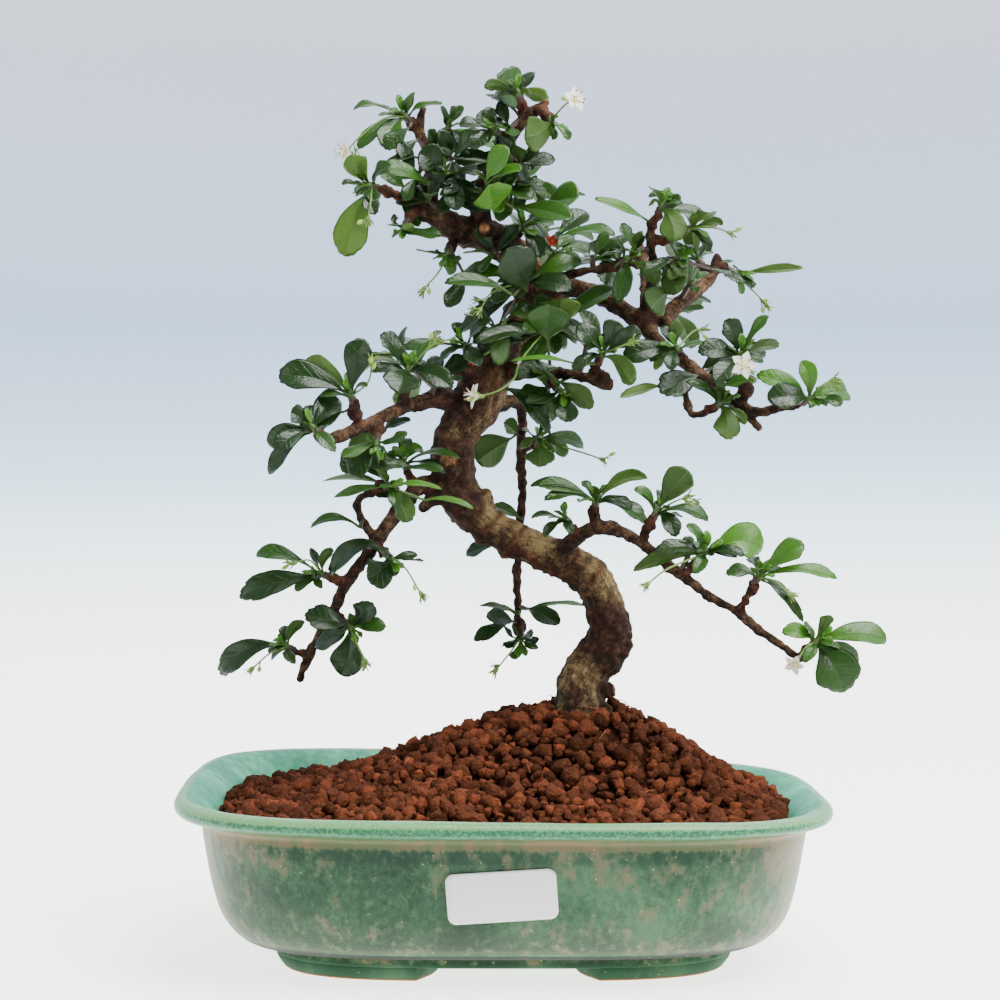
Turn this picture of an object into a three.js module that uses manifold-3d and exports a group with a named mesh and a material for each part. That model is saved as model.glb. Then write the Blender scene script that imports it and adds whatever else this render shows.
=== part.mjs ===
// A fukien tea bonsai in its oval glazed pot. Millimetres, +Z up, the viewer at -Y.
import * as THREE from 'three';
import { mergeVertices } from 'three/addons/utils/BufferGeometryUtils.js';
import Module from 'manifold-3d';

const wasm = await Module();
wasm.setup();

// The tree is drawn on the upright plane through the pot's middle, as an eye in front sees it.
// Each point then moves along its line of sight to its own depth.
const eyeDistance = 900;
const eyeHeight = 189.5;

// The pot: half sizes of the lip, the roundness of its plan, its wall and the warp of its lip.
const potHalfLength = 120;
const potHalfDepth = 97;
const potHeight = 61;
const planPower = 3.8;
const planSides = 36;
const lipWarp = 0.021;
const lipTwist = 0.013;
const footGapLeft = -30;
const footGapRight = 33;
const footGapSide = 25;
const footOutline = [[78.5, 0], [82, 5], [80, 6.5]];
const footInside = 66;
const footGapTop = 4.8;
const throughPot = 300;
const drainRadius = 8;
const drainPlace = 38;
const floorHeight = 13;

// Half length and height of each ring of the pot, from under the base, over the lip, to the floor.
const potRings = [
  [82, 4.6], [82, 8.8], [89, 9.4], [94, 11.6], [98.5, 16], [102.5, 24], [107.5, 46],
  [109, 55], [118, 56.4], [120, 58], [120, 59.6], [118.4, 61], [109, 61],
  [107.4, 60], [100.5, 40], [95.5, 24], [90, 16], [84, floorHeight],
];

// The soil lies this far from the wall and the floor, and so does everything that rests on another.
const seat = 0.3;
const soilRings = 11;
const soilReach = 103;
const soilEdge = 56;
const soilLevels = [16, 24, 40, 51];
const soilMounds = [
  { height: 34, x: 32, y: 2, length: 54, depth: 50 },
  { height: 12, x: -50, y: 0, length: 60, depth: 50 },
];
const grainShift = 1.8;
const grainLow = -1.6;
const grainHigh = 2;
const screenSide = 24;
const screenThickness = 0.8;
const stumpPlace = [29, 0];
const stumpRadius = 11.2;
const stumpBottom = 40;
const stumpTop = 91;
const holeTop = 130;

const labelLength = 38;
const labelHeight = 18;
const labelCorner = 3;
const labelMiddle = [-0.6, 35];
const labelTurn = 0.07;
const labelThickness = 0.6;

// The leaf: share of its length, share of its half width. A notch comes before the tip.
const leafOutline = [[0.18, 0.14], [0.44, 0.74], [0.74, 1], [0.85, 0.78]];
const leafKeel = 0.7;
const leafSpring = 4;
const leafFold = 0.22;
const leafWiden = 1.2;
const leafRootReach = 0.8;
const shootRadius = 1.7;
const shootLength = 4.2;
const shootTaper = 0.3;
const spurRadius = 1.7;
const spurEndRadius = 2;

// Leaves start this far up their shoot. Leaves at the back are drawn between two lengths.
const leafRootPlace = 2.6;
const stemLeafShort = 18;
const stemLeafLong = 25;
const stemLeafBreadth = 0.52;
const stemLeafLean = 0.5;

const stalkRadius = 0.6;
const calyxRadius = 2.1;
const calyxWaist = 0.9;
const calyxHalfHeight = 1.2;
const bloomRadius = 4.7;
const bloomThickness = 0.9;
const bloomStandOff = 2.5;

const colours = {
  pot: 0x5f8f7c,
  soil: 0x7a4a34,
  wood: 0x6b5138,
  leaf: 0x3f7a2c,
  flower: 0xf4ede2,
  label: 0xf2f2ee,
  screen: 0x23282a,
};

const group = new THREE.Group();

function addPart(name, geometry, colour, roughness) {
  const material = new THREE.MeshStandardMaterial({ color: colour, roughness, metalness: 0 });
  const mesh = new THREE.Mesh(geometry, material);
  mesh.name = name;
  group.add(mesh);
}

function seen([x, z, depth = 0]) {
  const reach = (eyeDistance + depth) / eyeDistance;
  return new THREE.Vector3(x * reach, depth, eyeHeight + (z - eyeHeight) * reach);
}

// Even random draws from a seed.
function drawFrom(seed) {
  let state = seed;
  return (low, high) => {
    state = (state * 1664525 + 1013904223) % 4294967296;
    return low + (high - low) * state / 4294967296;
  };
}

// Closed meshes as solids and back.
function solidOf(geometry) {
  const bare = geometry.clone();
  bare.deleteAttribute('normal');
  bare.deleteAttribute('uv');
  const merged = mergeVertices(bare, 1e-5);
  const vertProperties = Float32Array.from(merged.attributes.position.array);
  const triVerts = Uint32Array.from(merged.index.array);
  return new wasm.Manifold(new wasm.Mesh({ numProp: 3, vertProperties, triVerts }));
}

function geometryOf(solid) {
  const mesh = solid.getMesh();
  const geometry = new THREE.BufferGeometry();
  geometry.setAttribute('position', new THREE.BufferAttribute(mesh.vertProperties, 3));
  geometry.setIndex(new THREE.BufferAttribute(mesh.triVerts, 1));
  geometry.computeVertexNormals();
  return geometry;
}

function fuse(geometries) {
  return geometries.map(solidOf).reduce((whole, next) => whole.add(next));
}

function meshOf(points, triangles) {
  const geometry = new THREE.BufferGeometry();
  const numbers = points.flatMap(({ x, y, z }) => [x, y, z]);
  geometry.setAttribute('position', new THREE.Float32BufferAttribute(numbers, 3));
  geometry.setIndex(triangles.flat());
  return geometry;
}

// A skin through rings of equal count, closed by a point at each end.
function skin(rings, start, end) {
  const count = rings[0].length;
  const points = [start, ...rings.flat(), end];
  const triangles = [];
  const last = points.length - 1;
  for (let i = 0; i < count; i += 1) {
    const j = (i + 1) % count;
    triangles.push([0, 1 + j, 1 + i]);
    for (let k = 0; k < rings.length - 1; k += 1) {
      const low = 1 + k * count;
      const high = low + count;
      triangles.push([low + i, low + j, high + j], [low + i, high + j, high + i]);
    }
    triangles.push([last, last - count + i, last - count + j]);
  }
  return meshOf(points, triangles);
}

// The plan of the pot: a rounded oblong, and its half depth shrinks as much as its half length.
function planRadius(angle, half) {
  const depth = half - potHalfLength + potHalfDepth;
  const along = Math.abs(Math.cos(angle) / half) ** planPower;
  const across = Math.abs(Math.sin(angle) / depth) ** planPower;
  return (along + across) ** (-1 / planPower);
}

function warp(point) {
  const slope = lipWarp + lipTwist * point.y / potHalfDepth;
  const share = Math.min(point.z / potHeight, 1);
  return new THREE.Vector3(point.x, point.y, point.z - slope * point.x * share);
}

function planRing(half, height) {
  return Array.from({ length: planSides }, (_, i) => {
    const angle = i * 2 * Math.PI / planSides;
    const radius = planRadius(angle, half);
    return new THREE.Vector3(radius * Math.cos(angle), radius * Math.sin(angle), height);
  });
}

function box(length, depth, height, x, y, z) {
  return new THREE.BoxGeometry(length, depth, height).translate(x, y, z);
}

function upright(radius, low, high, x, y, sides) {
  const rod = new THREE.CylinderGeometry(radius, radius, high - low, sides).rotateX(Math.PI / 2);
  return rod.translate(x, y, (low + high) / 2);
}

// Four feet: a band under the pot with its core and two crossing gaps taken away.
function bandOf(outline) {
  const [low, high] = [outline[0][1], outline[outline.length - 1][1]];
  const rings = outline.map(([half, height]) => planRing(half, height));
  return solidOf(skin(rings, new THREE.Vector3(0, 0, low), new THREE.Vector3(0, 0, high)));
}

function makeFeet() {
  const core = bandOf([[footInside, -1], [footInside, 8]]);
  const gapLength = footGapRight - footGapLeft;
  const gapMiddle = (footGapRight + footGapLeft) / 2;
  const across = box(gapLength, throughPot, 2 * footGapTop, gapMiddle, 0, 0);
  const along = box(throughPot, 2 * footGapSide, 2 * footGapTop, 0, 0, 0);
  return bandOf(footOutline).subtract(core).subtract(fuse([across, along]));
}

function makePot() {
  const rings = potRings.map(([half, height]) => planRing(half, height).map(warp));
  const under = new THREE.Vector3(0, 0, potRings[0][1]);
  const floor = new THREE.Vector3(0, 0, floorHeight);
  const body = solidOf(skin(rings, under, floor));
  const feet = makeFeet();
  const drains = fuse([-drainPlace, drainPlace].map((x) => upright(drainRadius, 0, 20, x, 0, 16)));
  addPart('pot', geometryOf(body.add(feet).subtract(drains)), colours.pot, 0.3);
}

// The heap of soil: highest at the trunk, with a lower shoulder to the left.
function soilHeight(x, y) {
  const mounds = soilMounds.map((mound) => {
    const far = ((x - mound.x) / mound.length) ** 2 + ((y - mound.y) / mound.depth) ** 2;
    return mound.height * Math.exp(-far);
  });
  return mounds.reduce((sum, mound) => sum + mound, soilEdge - lipWarp * x);
}

function makeSoil() {
  const wall = (height) => {
    const inner = potRings.slice(13).reverse();
    const above = inner.findIndex(([, level]) => level > height);
    const [[low, lowLevel], [high, highLevel]] = [inner[above - 1], inner[above]];
    return low + (high - low) * (height - lowLevel) / (highLevel - lowLevel);
  };
  const levels = [floorHeight + seat, ...soilLevels];
  const sides = levels.map((height) => planRing(wall(height) - 2 * seat, height).map(warp));
  const draw = drawFrom(20);
  const grains = [];
  for (let k = soilRings; k >= 1; k -= 1) {
    const share = k / soilRings;
    const rough = k < soilRings ? share : 0;
    grains.push(planRing(soilReach, 0).map((p) => {
      const x = p.x * share + draw(-grainShift, grainShift) * rough;
      const y = p.y * share + draw(-grainShift, grainShift) * rough;
      return new THREE.Vector3(x, y, soilHeight(x, y) + draw(grainLow, grainHigh) * rough);
    }));
  }
  const top = new THREE.Vector3(0, 0, soilHeight(0, 0));
  const heap = solidOf(skin([...sides, ...grains], new THREE.Vector3(0, 0, levels[0]), top));
  const hole = solidOf(upright(stumpRadius + seat, stumpBottom - seat, holeTop, ...stumpPlace, 24));
  const pocketSide = screenSide + 2;
  const pocketHeight = 2 * (screenThickness + seat);
  const pockets = [-drainPlace, drainPlace].map((x) => (
    box(pocketSide, pocketSide, pocketHeight, x, 0, floorHeight + seat)));
  const solid = heap.subtract(hole).subtract(fuse(pockets));
  addPart('soil', geometryOf(solid), colours.soil, 0.95);
}

function makeScreens() {
  const bottom = floorHeight + seat;
  [['drain_screen_left', -drainPlace], ['drain_screen_right', drainPlace]].forEach(([name, x]) => {
    const level = bottom + screenThickness / 2;
    const net = box(screenSide, screenSide, screenThickness - seat / 2, x, 0, level);
    addPart(name, net, colours.screen, 0.8);
  });
}

function makeLabel() {
  const [[low, lowLevel], [high, highLevel]] = potRings.slice(5, 7);
  const half = (height) => low + (high - low) * (height - lowLevel) / (highLevel - lowLevel);
  const place = (along, up, out) => {
    const x = labelMiddle[0] + along * Math.cos(labelTurn) - up * Math.sin(labelTurn);
    const z = labelMiddle[1] + along * Math.sin(labelTurn) + up * Math.cos(labelTurn);
    const depth = half(z) - potHalfLength + potHalfDepth + out;
    const y = -depth * (1 - Math.abs(x / (half(z) + out)) ** planPower) ** (1 / planPower);
    return warp(new THREE.Vector3(x, y, z));
  };
  const rim = [];
  for (const [cornerX, cornerZ, start] of [[1, 1, 0], [-1, 1, 1], [-1, -1, 2], [1, -1, 3]]) {
    for (let i = 0; i <= 3; i += 1) {
      const angle = (start + i / 3) * Math.PI / 2;
      const along = cornerX * (labelLength / 2 - labelCorner) + labelCorner * Math.cos(angle);
      const up = cornerZ * (labelHeight / 2 - labelCorner) + labelCorner * Math.sin(angle);
      rim.push([along, up]);
    }
  }
  const outer = seat + labelThickness;
  const back = rim.map(([along, up]) => place(along, up, seat));
  const front = rim.map(([along, up]) => place(along, up, outer));
  const sheet = skin([back, front], place(0, 0, seat), place(0, 0, outer));
  addPart('label', sheet, colours.label, 0.6);
}

// Limbs as drawn: across, up, depth, radius at each point.
const limbs = {
  trunk: [
    [29, 90, 0, 10.2], [28.6, 98, 2, 8.8], [32.3, 106, 4, 8.6], [37.9, 112.5, 4, 9],
    [40.1, 119.6, 4, 8.4], [38.3, 126.4, 4, 7.6], [36.4, 133, 3, 7.5], [31.9, 140.3, 2, 7.8],
    [20.6, 147, 0, 7], [5.6, 153.4, -2, 6.6], [-5.3, 159, -3, 6.6], [-12.5, 165, -4, 7.8],
    [-18.6, 175, -4, 8.6], [-19.1, 188.3, -3, 7.7], [-15.8, 195.8, -2, 8.3], [-11, 203, -1, 9],
    [-6.4, 214, 1, 9.2], [-1.5, 223.9, 3, 7.5], [6.8, 233.3, 5, 6.8], [11.6, 244.5, 6, 6.4],
    [8.5, 255.8, 6, 6.2], [1, 263.3, 5, 6.2], [-6, 268, 3, 6], [-16.5, 270.3, 0, 5.4],
    [-24, 274.9, -3, 4.6], [-30, 278.5, -5, 3.6], [-36, 283, -7, 2.6],
  ],
  crownLeft: [
    [-26, 276, -4, 3], [-27, 286, 2, 2.7], [-27, 295, 8, 2.5], [-28.5, 301.5, 12, 2.3],
    [-31.5, 306.4, 14, 2.1], [-30.4, 316, 15, 1.6],
  ],
  crownMiddle: [
    [-6, 268, 3, 3.8], [-9, 282, -4, 3.3], [0.4, 300.8, -12, 2.8], [4.1, 306.4, -15, 2.5],
    [8.6, 312.8, -17, 2.1], [16.1, 318, -18, 1.5],
  ],
  right: [
    [11.6, 244.5, 6, 5], [24.8, 248.3, 6, 3.8], [36, 245.3, 4, 3.4], [45.4, 240, 1, 3.3],
    [52.9, 234.4, -2, 3.7], [58.5, 227.6, -6, 2.8], [72, 217.5, -14, 2.6], [79.1, 211.1, -18, 2.5],
    [87, 204.8, -22, 2.1], [96.4, 195.8, -26, 1.6],
  ],
  rightUp: [[53, 236, -1, 2.8], [53.3, 248.3, 10, 2.4], [52.9, 257.6, 17, 2.2], [51, 263.3, 21, 2],
    [48, 268, 24, 1.7]],
  rightInner: [[53.5, 240, -1, 2.6], [56.6, 255.8, -6, 2.3], [55.1, 263.3, -9, 2.1], [55.1, 273, -12, 1.7]],
  rightOuter: [
    [53, 237, -1, 3.2], [60.4, 237.8, 2, 3.4], [66, 242.6, 8, 3.2], [73.5, 248.3, 15, 2.7],
    [79.1, 253.9, 20, 2.2], [79.9, 260.3, 23, 1.9],
  ],
  rightTwig: [[13, 249, 6, 2.4], [26.6, 254, -4, 1.8], [40.5, 256, -10, 1.4]],
  rightTip: [[86, 205.5, -22, 2.2], [95.6, 201.8, -28, 2.1], [102.8, 203.3, -32, 1.9],
    [110, 204, -35, 1.6]],
  rightHook: [[70, 218, -13, 1.8], [68.6, 209.6, -17, 1.5], [70.5, 201, -20, 1.5], [75.5, 201.5, -22, 1.8]],
  middle: [[-4, 216, 2, 3.8], [13.5, 217.5, -10, 2.6], [32.3, 214.5, -20, 2.3], [37.8, 213.8, -22, 3.3]],
  behind: [
    [-9, 204, 2, 3.4], [5.6, 205.1, 16, 2.3], [6.4, 186, 24, 2], [7.1, 175.1, 27, 1.9],
    [6.4, 162.4, 28, 1.8], [5.3, 144.4, 27, 1.7], [5.3, 133.1, 25, 1.6], [5.8, 124, 23, 1.6],
  ],
  leftUpper: [
    [-14, 205, 0, 4.2], [-27.4, 206.3, -10, 3.3], [-35.3, 204.4, -17, 2.9], [-43.5, 201, -24, 2.7],
    [-50.3, 197.6, -30, 2.4], [-59.3, 193.9, -37, 2.2], [-66.8, 190.5, -42, 2.3],
  ],
  leftLower: [
    [-20, 176, -4, 4.4], [-29.6, 174.8, -7, 3.4], [-34.9, 171, -9, 3.1], [-42.4, 161.6, -10, 2.8],
    [-47.6, 153.4, -10, 2.6], [-54.8, 143.3, -8, 2.4], [-60.8, 135, -5, 2.3], [-63.4, 128.3, -2, 2.2],
    [-69.8, 117, 2, 2], [-74.6, 108, 5, 1.8], [-76.9, 100.9, 7, 1.4],
  ],
  leftTwig: [
    [-47.6, 153.4, -10, 2], [-52.5, 159.4, -13, 1.9], [-55.2, 168, -17, 1.8], [-48.4, 172.5, -22, 1.7],
  ],
  lowerRight: [
    [20, 148, -1, 4], [25.9, 153.4, -8, 3], [34.1, 158.3, -15, 2.8], [41.3, 157.5, -21, 2.5],
    [49.5, 154.1, -27, 2.3], [57.8, 147.8, -33, 2.2], [66.4, 141, -38, 2], [78, 132, -43, 1.9],
    [88.5, 126.4, -47, 1.8], [96.8, 119.3, -50, 1.7], [107.3, 111.8, -52, 1.6], [111.4, 109.1, -52, 1.3],
  ],
  behindCrown: [[6, 252, 7, 3.6], [4, 256, 20, 2.6], [9, 261, 33, 2]],
  behindLeft: [[-11, 203, 0, 3.6], [-19, 208, 17, 2.4], [-26, 212, 29, 2]],
  behindRight: [[45.4, 240, 1, 2.8], [51, 237, 20, 2.2], [58, 238, 35, 1.8]],
};

// Burls and cut stubs: where they start and end, and their radius at each end.
const knobs = [
  [[-19, 176, -4], [-20, 181, -12], 8.4, 3.6], [[-8, 163, -3], [-7, 170.5, -5], 5, 3.4],
  [[-6, 268, 3], [-7, 270.5, -7], 4.4, 3.2], [[61.1, 238, 2], [61.6, 234.6, -1], 3.2, 2.6],
  [[87, 205, -22], [91.5, 210, -24], 2.4, 3.2], [[37.5, 214, -22], [39.6, 212.6, -24], 3.6, 2.4],
  [[30, 96, 4], [40, 97, 3], 6, 3], [[-24, 171, -6], [-30.5, 166, -7], 3.4, 2],
  [[-38.5, 203, -20], [-37, 211, -22], 2.4, 2.2], [[-6, 214, 1], [-15, 219, -6], 6, 3.6],
];

// Each rosette: its place on the wood, its own place, and the tips of its leaves as drawn:
// across, up, depth against the rosette, turn of its face to the viewer, share of breadth.
const rosettes = [
  {
    name: 'leaves_crown_left_tip', from: [-31, 306, 14], at: [-35, 310.5, 13],
    leaves: [[-57, 316, -4, 70, 0.3], [-34, 325, -5, 75, 0.55], [-23, 320, 6, 60, 0.5],
      [-55, 301.5, -8, 60, 0.45], [-43, 300.5, -13, 50, 0.5]],
    stalk: [[-44.6, 312, -8], [-54, 305, -12], [-59.3, 299, -14]],
    bloom: 'flower_far_left',
  },
  {
    name: 'leaves_crown_left_side', from: [-28.5, 301.5, 12], at: [-23.5, 306, 9],
    leaves: [[-16, 318, -2, 75, 0.5], [-12, 298, -9, 55, 0.5], [-2, 301, -4, 65, 0.42],
      [-22, 297, -14, 60, 0.45]],
  },
  {
    name: 'leaves_left_top', from: [-36, 282, -7], at: [-47.3, 285.8, -16],
    leaves: [[-60, 298.5, -4, -60, 0.45], [-44, 297, -8, 75, 0.6], [-63, 281, -9, 70, 0.6],
      [-64, 289, 4, 50, 0.45], [-58.5, 258.8, -8, 60, 0.5], [-46, 273, -12, 50, 0.5]],
    stalk: [[-50, 280, -12], [-51, 274, -14]],
  },
  {
    name: 'leaves_left_crook', from: [-27, 284, 1], at: [-23.5, 288.5, -7],
    leaves: [[-29.6, 299.5, -9, 60, 0.45], [-13, 285, -9, 70, 0.5], [-6, 292, -2, 55, 0.45],
      [-20, 277, -13, 65, 0.55]],
  },
  {
    name: 'leaves_left_under', from: [-32, 279, -6], at: [-36, 273.5, -11],
    leaves: [[-47, 270, -6, -50, 0.45], [-41, 263, -8, -60, 0.5], [-27, 263, -8, -40, 0.5],
      [-33, 260, 7, 20, 0.5]],
  },
  {
    name: 'leaves_left_hanging', from: [-18, 269, -1], at: [-20.5, 263.5, -7],
    leaves: [[-15, 248, -6, -60, 0.5], [-33, 257, -4, -10, 0.4], [-10, 254, -10, -40, 0.45]],
    stalk: [[-24, 255, -4], [-30, 248, -5]],
  },
  {
    name: 'leaves_crown_top', from: [8.6, 312.8, -17], at: [6.6, 318.2, -19],
    leaves: [[-14, 327, -6, -75, 0.5], [15, 329, -2, -70, 0.6], [1, 330, -10, 60, 0.5],
      [-20, 318, 8, -50, 0.25], [23, 324, 8, 40, 0.45]],
  },
  {
    name: 'leaves_crown_right', from: [13, 316, -18], at: [16.5, 312.4, -23],
    leaves: [[33, 302, -5, 70, 0.5], [26, 306, -13, -40, 0.5], [34, 312, 5, 50, 0.45],
      [20, 299, -5, 60, 0.45]],
    stalk: [[23, 317, -10], [26.5, 318.5, -15]],
    bloom: 'flower_crown',
  },
  {
    name: 'leaves_crown_dark', from: [1.5, 302, -12], at: [-2.4, 306.5, -20],
    leaves: [[-13.9, 318, -5, 60, 0.45], [-17, 310, -8, 40, 0.4], [-13.5, 301, -11, 60, 0.5],
      [6, 290, -10, 70, 0.5], [9, 299, -12, 50, 0.5]],
  },
  {
    name: 'leaves_crown_bright', from: [-8.5, 280, -3], at: [-5, 284, -13],
    leaves: [[3.5, 298, -7, -60, 0.3], [12, 293, -12, 60, 0.4], [-3, 268.5, -15, 60, 0.6],
      [11, 283, -14, 40, 0.5]],
  },
  {
    name: 'leaves_crown_notched', from: [-2, 297, -10], at: [5, 291, -3],
    leaves: [[22, 290, 4, 70, 0.5], [28.1, 283, -5, 60, 0.5], [17, 299, 8, 50, 0.45],
      [4, 278, 5, 60, 0.5]],
  },
  {
    name: 'leaves_neck', from: [1, 264, 5], at: [5.5, 269.5, -3],
    leaves: [[27.5, 274, -6, 60, 0.4], [17, 280, -12, 70, 0.5], [14, 260, -12, 50, 0.5]],
  },
  {
    name: 'leaves_neck_right', from: [7, 260, 6], at: [15.5, 264.5, 10],
    leaves: [[40, 271, -6, 50, 0.4], [30, 263, -13, 60, 0.5], [31, 278, 6, 70, 0.5]],
  },
  {
    name: 'leaves_heart', from: [11, 247, 5], at: [8.5, 250, -6.5],
    leaves: [[0, 268, -6, 80, 0.62], [-17, 253.5, -8, 50, 0.4], [27, 260.5, -7, 70, 0.4],
      [27, 248, -12, 60, 0.4], [-5, 243, -14, 40, 0.5], [-19, 240, -4, 60, 0.42]],
    stalk: [[-4, 247, -15.5], [-9, 240, -17.5]],
  },
  {
    name: 'leaves_heart_low', from: [8, 234, 5], at: [15.4, 234.2, -4],
    leaves: [[41.5, 247, -4, 45, 0.3], [-2, 242, -12, 60, 0.42], [31, 239, -12, 75, 0.55],
      [-7, 227, -10, 60, 0.42], [7, 218, -13, 40, 0.5], [28, 228, -2, 50, 0.45]],
    stalk: [[7, 224, -20], [-4, 215, -25], [-10.9, 208, -24]],
    bloom: 'flower_middle',
  },
  {
    name: 'leaves_burl', from: [-9, 219, 0], at: [-13.5, 225.5, -10],
    leaves: [[-18, 236, -5, 60, 0.5], [-5, 237, -8, 70, 0.5], [-3, 216, -11, 60, 0.5],
      [-24, 221, -6, 50, 0.45]],
  },
  {
    name: 'leaves_right_peak', from: [55, 270, -11], at: [58, 276.5, -13],
    leaves: [[37, 284, -4, -65, 0.5], [73.5, 283, -4, -60, 0.5], [65.5, 264, -10, -70, 0.6],
      [49, 292, 8, 30, 0.45]],
  },
  {
    name: 'leaves_right_peak_outer', from: [56, 266, -9.5], at: [67, 270, -14],
    leaves: [[77, 281, -2, -60, 0.5], [86, 273.5, -5, -60, 0.45], [77, 262, -9, 60, 0.4],
      [70, 283, 12, 40, 0.5]],
    stalk: [[79, 271, -15], [85, 269, -19]],
  },
  {
    name: 'leaves_right_round', from: [56.6, 255, -6], at: [63, 258.5, -13],
    leaves: [[69.5, 241.5, -8, -70, 0.62], [60, 241, -8, -60, 0.55], [72, 265, -4, 70, 0.45],
      [49, 253, -10, 60, 0.5]],
  },
  {
    name: 'leaves_right_outer', from: [79.4, 257, 21.5], at: [84.5, 255, 20],
    leaves: [[113, 257.5, -3, -55, 0.3], [100, 250.5, -7, 60, 0.4], [91, 264, 4, -40, 0.5]],
    stalk: [[92, 249, -5], [98, 243, -7]],
  },
  {
    name: 'leaves_right_outer_inside', from: [78, 252.5, 19], at: [74.5, 257, 23],
    leaves: [[71, 271.5, -6, -75, 0.62], [64, 264, -8, 55, 0.45], [66, 248, -10, 60, 0.5],
      [82, 268, 6, 40, 0.5]],
  },
  {
    name: 'leaves_right_inside', from: [52.9, 258, 17], at: [46.5, 258, 23],
    leaves: [[33, 267, -4, -60, 0.5], [28, 259, -8, 40, 0.45], [42, 244, -6, 60, 0.5],
      [38, 252, -13, 70, 0.42]],
  },
  {
    name: 'leaves_right_twig_end', from: [40, 256, -10], at: [43.5, 258, -12],
    leaves: [[58, 250, -8, -50, 0.5], [52, 268, -6, 60, 0.45], [42, 243, -7, 60, 0.45]],
  },
  {
    name: 'leaves_right_bend', from: [79, 212, -18], at: [86.5, 221, -24],
    leaves: [[82, 239, -5, 75, 0.6], [101, 238, -8, 60, 0.25], [100, 222, -12, 60, 0.45],
      [105, 229, 5, -50, 0.45], [70.5, 227, -8, 70, 0.6], [79, 210, -13, 60, 0.5]],
    stalk: [[88, 220, -16], [90, 219.4, -20]],
    bloom: 'flower_right',
  },
  {
    name: 'leaves_right_shoulder', from: [69, 220, -12], at: [66, 224.5, -20],
    leaves: [[61, 240, -4, -65, 0.55], [45, 222, -8, 75, 0.42], [57, 208, -11, 70, 0.55],
      [45, 209, -4, -50, 0.35]],
    stalk: [[71, 232, 4], [75, 233, 5]],
  },
  {
    name: 'leaves_right_hook', from: [75.5, 201.5, -22], at: [79, 203.5, -24],
    leaves: [[85.5, 187.5, -6, -70, 0.66], [92, 194, -3, -50, 0.3], [70, 214, -7, 60, 0.35],
      [90, 208, -8, 50, 0.4], [79, 216, -8, 60, 0.35]],
  },
  {
    name: 'leaves_right_tip', from: [110, 204, -35], at: [112.6, 205.5, -37],
    leaves: [[99, 211, -9, 75, 0.55], [112, 223, -6, 70, 0.6], [131.5, 208.5, -6, 65, 0.5],
      [126, 216, 5, 70, 0.55], [128.5, 202, 3, -50, 0.4], [97, 218, 2, 55, 0.4], [118, 195, -8, 50, 0.5]],
    stalk: [[120, 212, -6], [124, 214, -7]],
  },
  {
    name: 'leaves_middle_end', from: [33, 215, -20], at: [36, 221.5, -24],
    leaves: [[27, 235, -5, 80, 0.55], [42, 238, -6, 80, 0.62], [52, 229.5, -8, 70, 0.5],
      [49.5, 211, -7, -50, 0.45], [24, 219, -7, 60, 0.45], [29, 241, 6, 40, 0.28]],
    stalk: [[43, 226, -10], [48, 228.5, -13]],
  },
  {
    name: 'leaves_middle_under', from: [14, 217, -10], at: [19.5, 211.5, -16],
    leaves: [[33, 200, -5, -70, 0.55], [25, 197, -11, 65, 0.5], [3, 199, -6, 70, 0.5],
      [8, 206, -12, 50, 0.45], [13, 222, -12, 50, 0.4]],
  },
  {
    name: 'leaves_left_limb_top', from: [-54, 196, -33], at: [-56.6, 205.5, -37],
    leaves: [[-85, 215, -4, 50, 0.4], [-52.5, 229.5, -4, -65, 0.5], [-66, 219, 6, -50, 0.5],
      [-48, 216, -8, 50, 0.5]],
    stalk: [[-51, 213, -7], [-49.5, 221, -9]],
  },
  {
    name: 'leaves_left_limb_end', from: [-66.8, 190.5, -42], at: [-69.5, 193.5, -44],
    leaves: [[-78, 206, -5, 70, 0.6], [-89, 193, -4, 60, 0.45], [-84.5, 187.5, -11, 50, 0.45],
      [-87, 178, -2, -40, 0.35], [-61, 183, -8, 50, 0.45], [-70, 207, 8, 50, 0.5]],
  },
  {
    name: 'leaves_left_limb_base', from: [-37, 211, -22], at: [-36.5, 214.5, -23],
    leaves: [[-46, 231.5, -5, 75, 0.55], [-27, 229, -4, 75, 0.62], [-52, 220.5, -6, 60, 0.5],
      [-18, 218, -8, 60, 0.55], [-20, 232, 6, -40, 0.4], [-30, 209, -13, 50, 0.5]],
    stalk: [[-31, 223, -10.5], [-26, 228.5, -12.5]],
  },
  {
    name: 'leaves_left_limb_under', from: [-46, 200, -26], at: [-47.3, 193.5, -29],
    leaves: [[-36, 191, -7, 60, 0.45], [-61, 186.5, -10, 55, 0.42], [-57, 174.5, -4, -60, 0.5]],
  },
  {
    name: 'leaves_left_fork', from: [-33, 172.5, -8], at: [-36.5, 180.5, -12],
    leaves: [[-53, 184.5, -5, 65, 0.45], [-42, 193, -5, 70, 0.5], [-30, 194, 4, 60, 0.45],
      [-19, 181, -9, 50, 0.42], [-16, 188, -6, 65, 0.45]],
  },
  {
    name: 'leaves_left_twig', from: [-48.4, 172.5, -22], at: [-45.5, 173.6, -25],
    leaves: [[-55, 187, -6, 65, 0.5], [-69, 178, -5, 50, 0.4], [-66, 170.5, -8, 50, 0.4],
      [-36, 158, -10, -60, 0.45], [-41, 163, -12, 50, 0.45]],
  },
  {
    name: 'leaves_left_elbow', from: [-49, 152, -10], at: [-44.5, 148.5, -15],
    leaves: [[-68, 155, -6, 60, 0.42], [-43, 131, -6, 70, 0.55], [-27, 147, -5, 50, 0.42],
      [-38, 158, -9, 60, 0.45]],
    stalk: [[-37, 143, -7], [-31, 133, -9]],
  },
  {
    name: 'leaves_left_drop', from: [-59, 137.5, -6], at: [-66, 140, -9],
    leaves: [[-91, 149, -3, 55, 0.42], [-99, 135, -6, 75, 0.5], [-63, 155, -5, 70, 0.5],
      [-72, 127, -9, 60, 0.45]],
    stalk: [[-73, 146, -7], [-79, 145, -9]],
  },
  {
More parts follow.
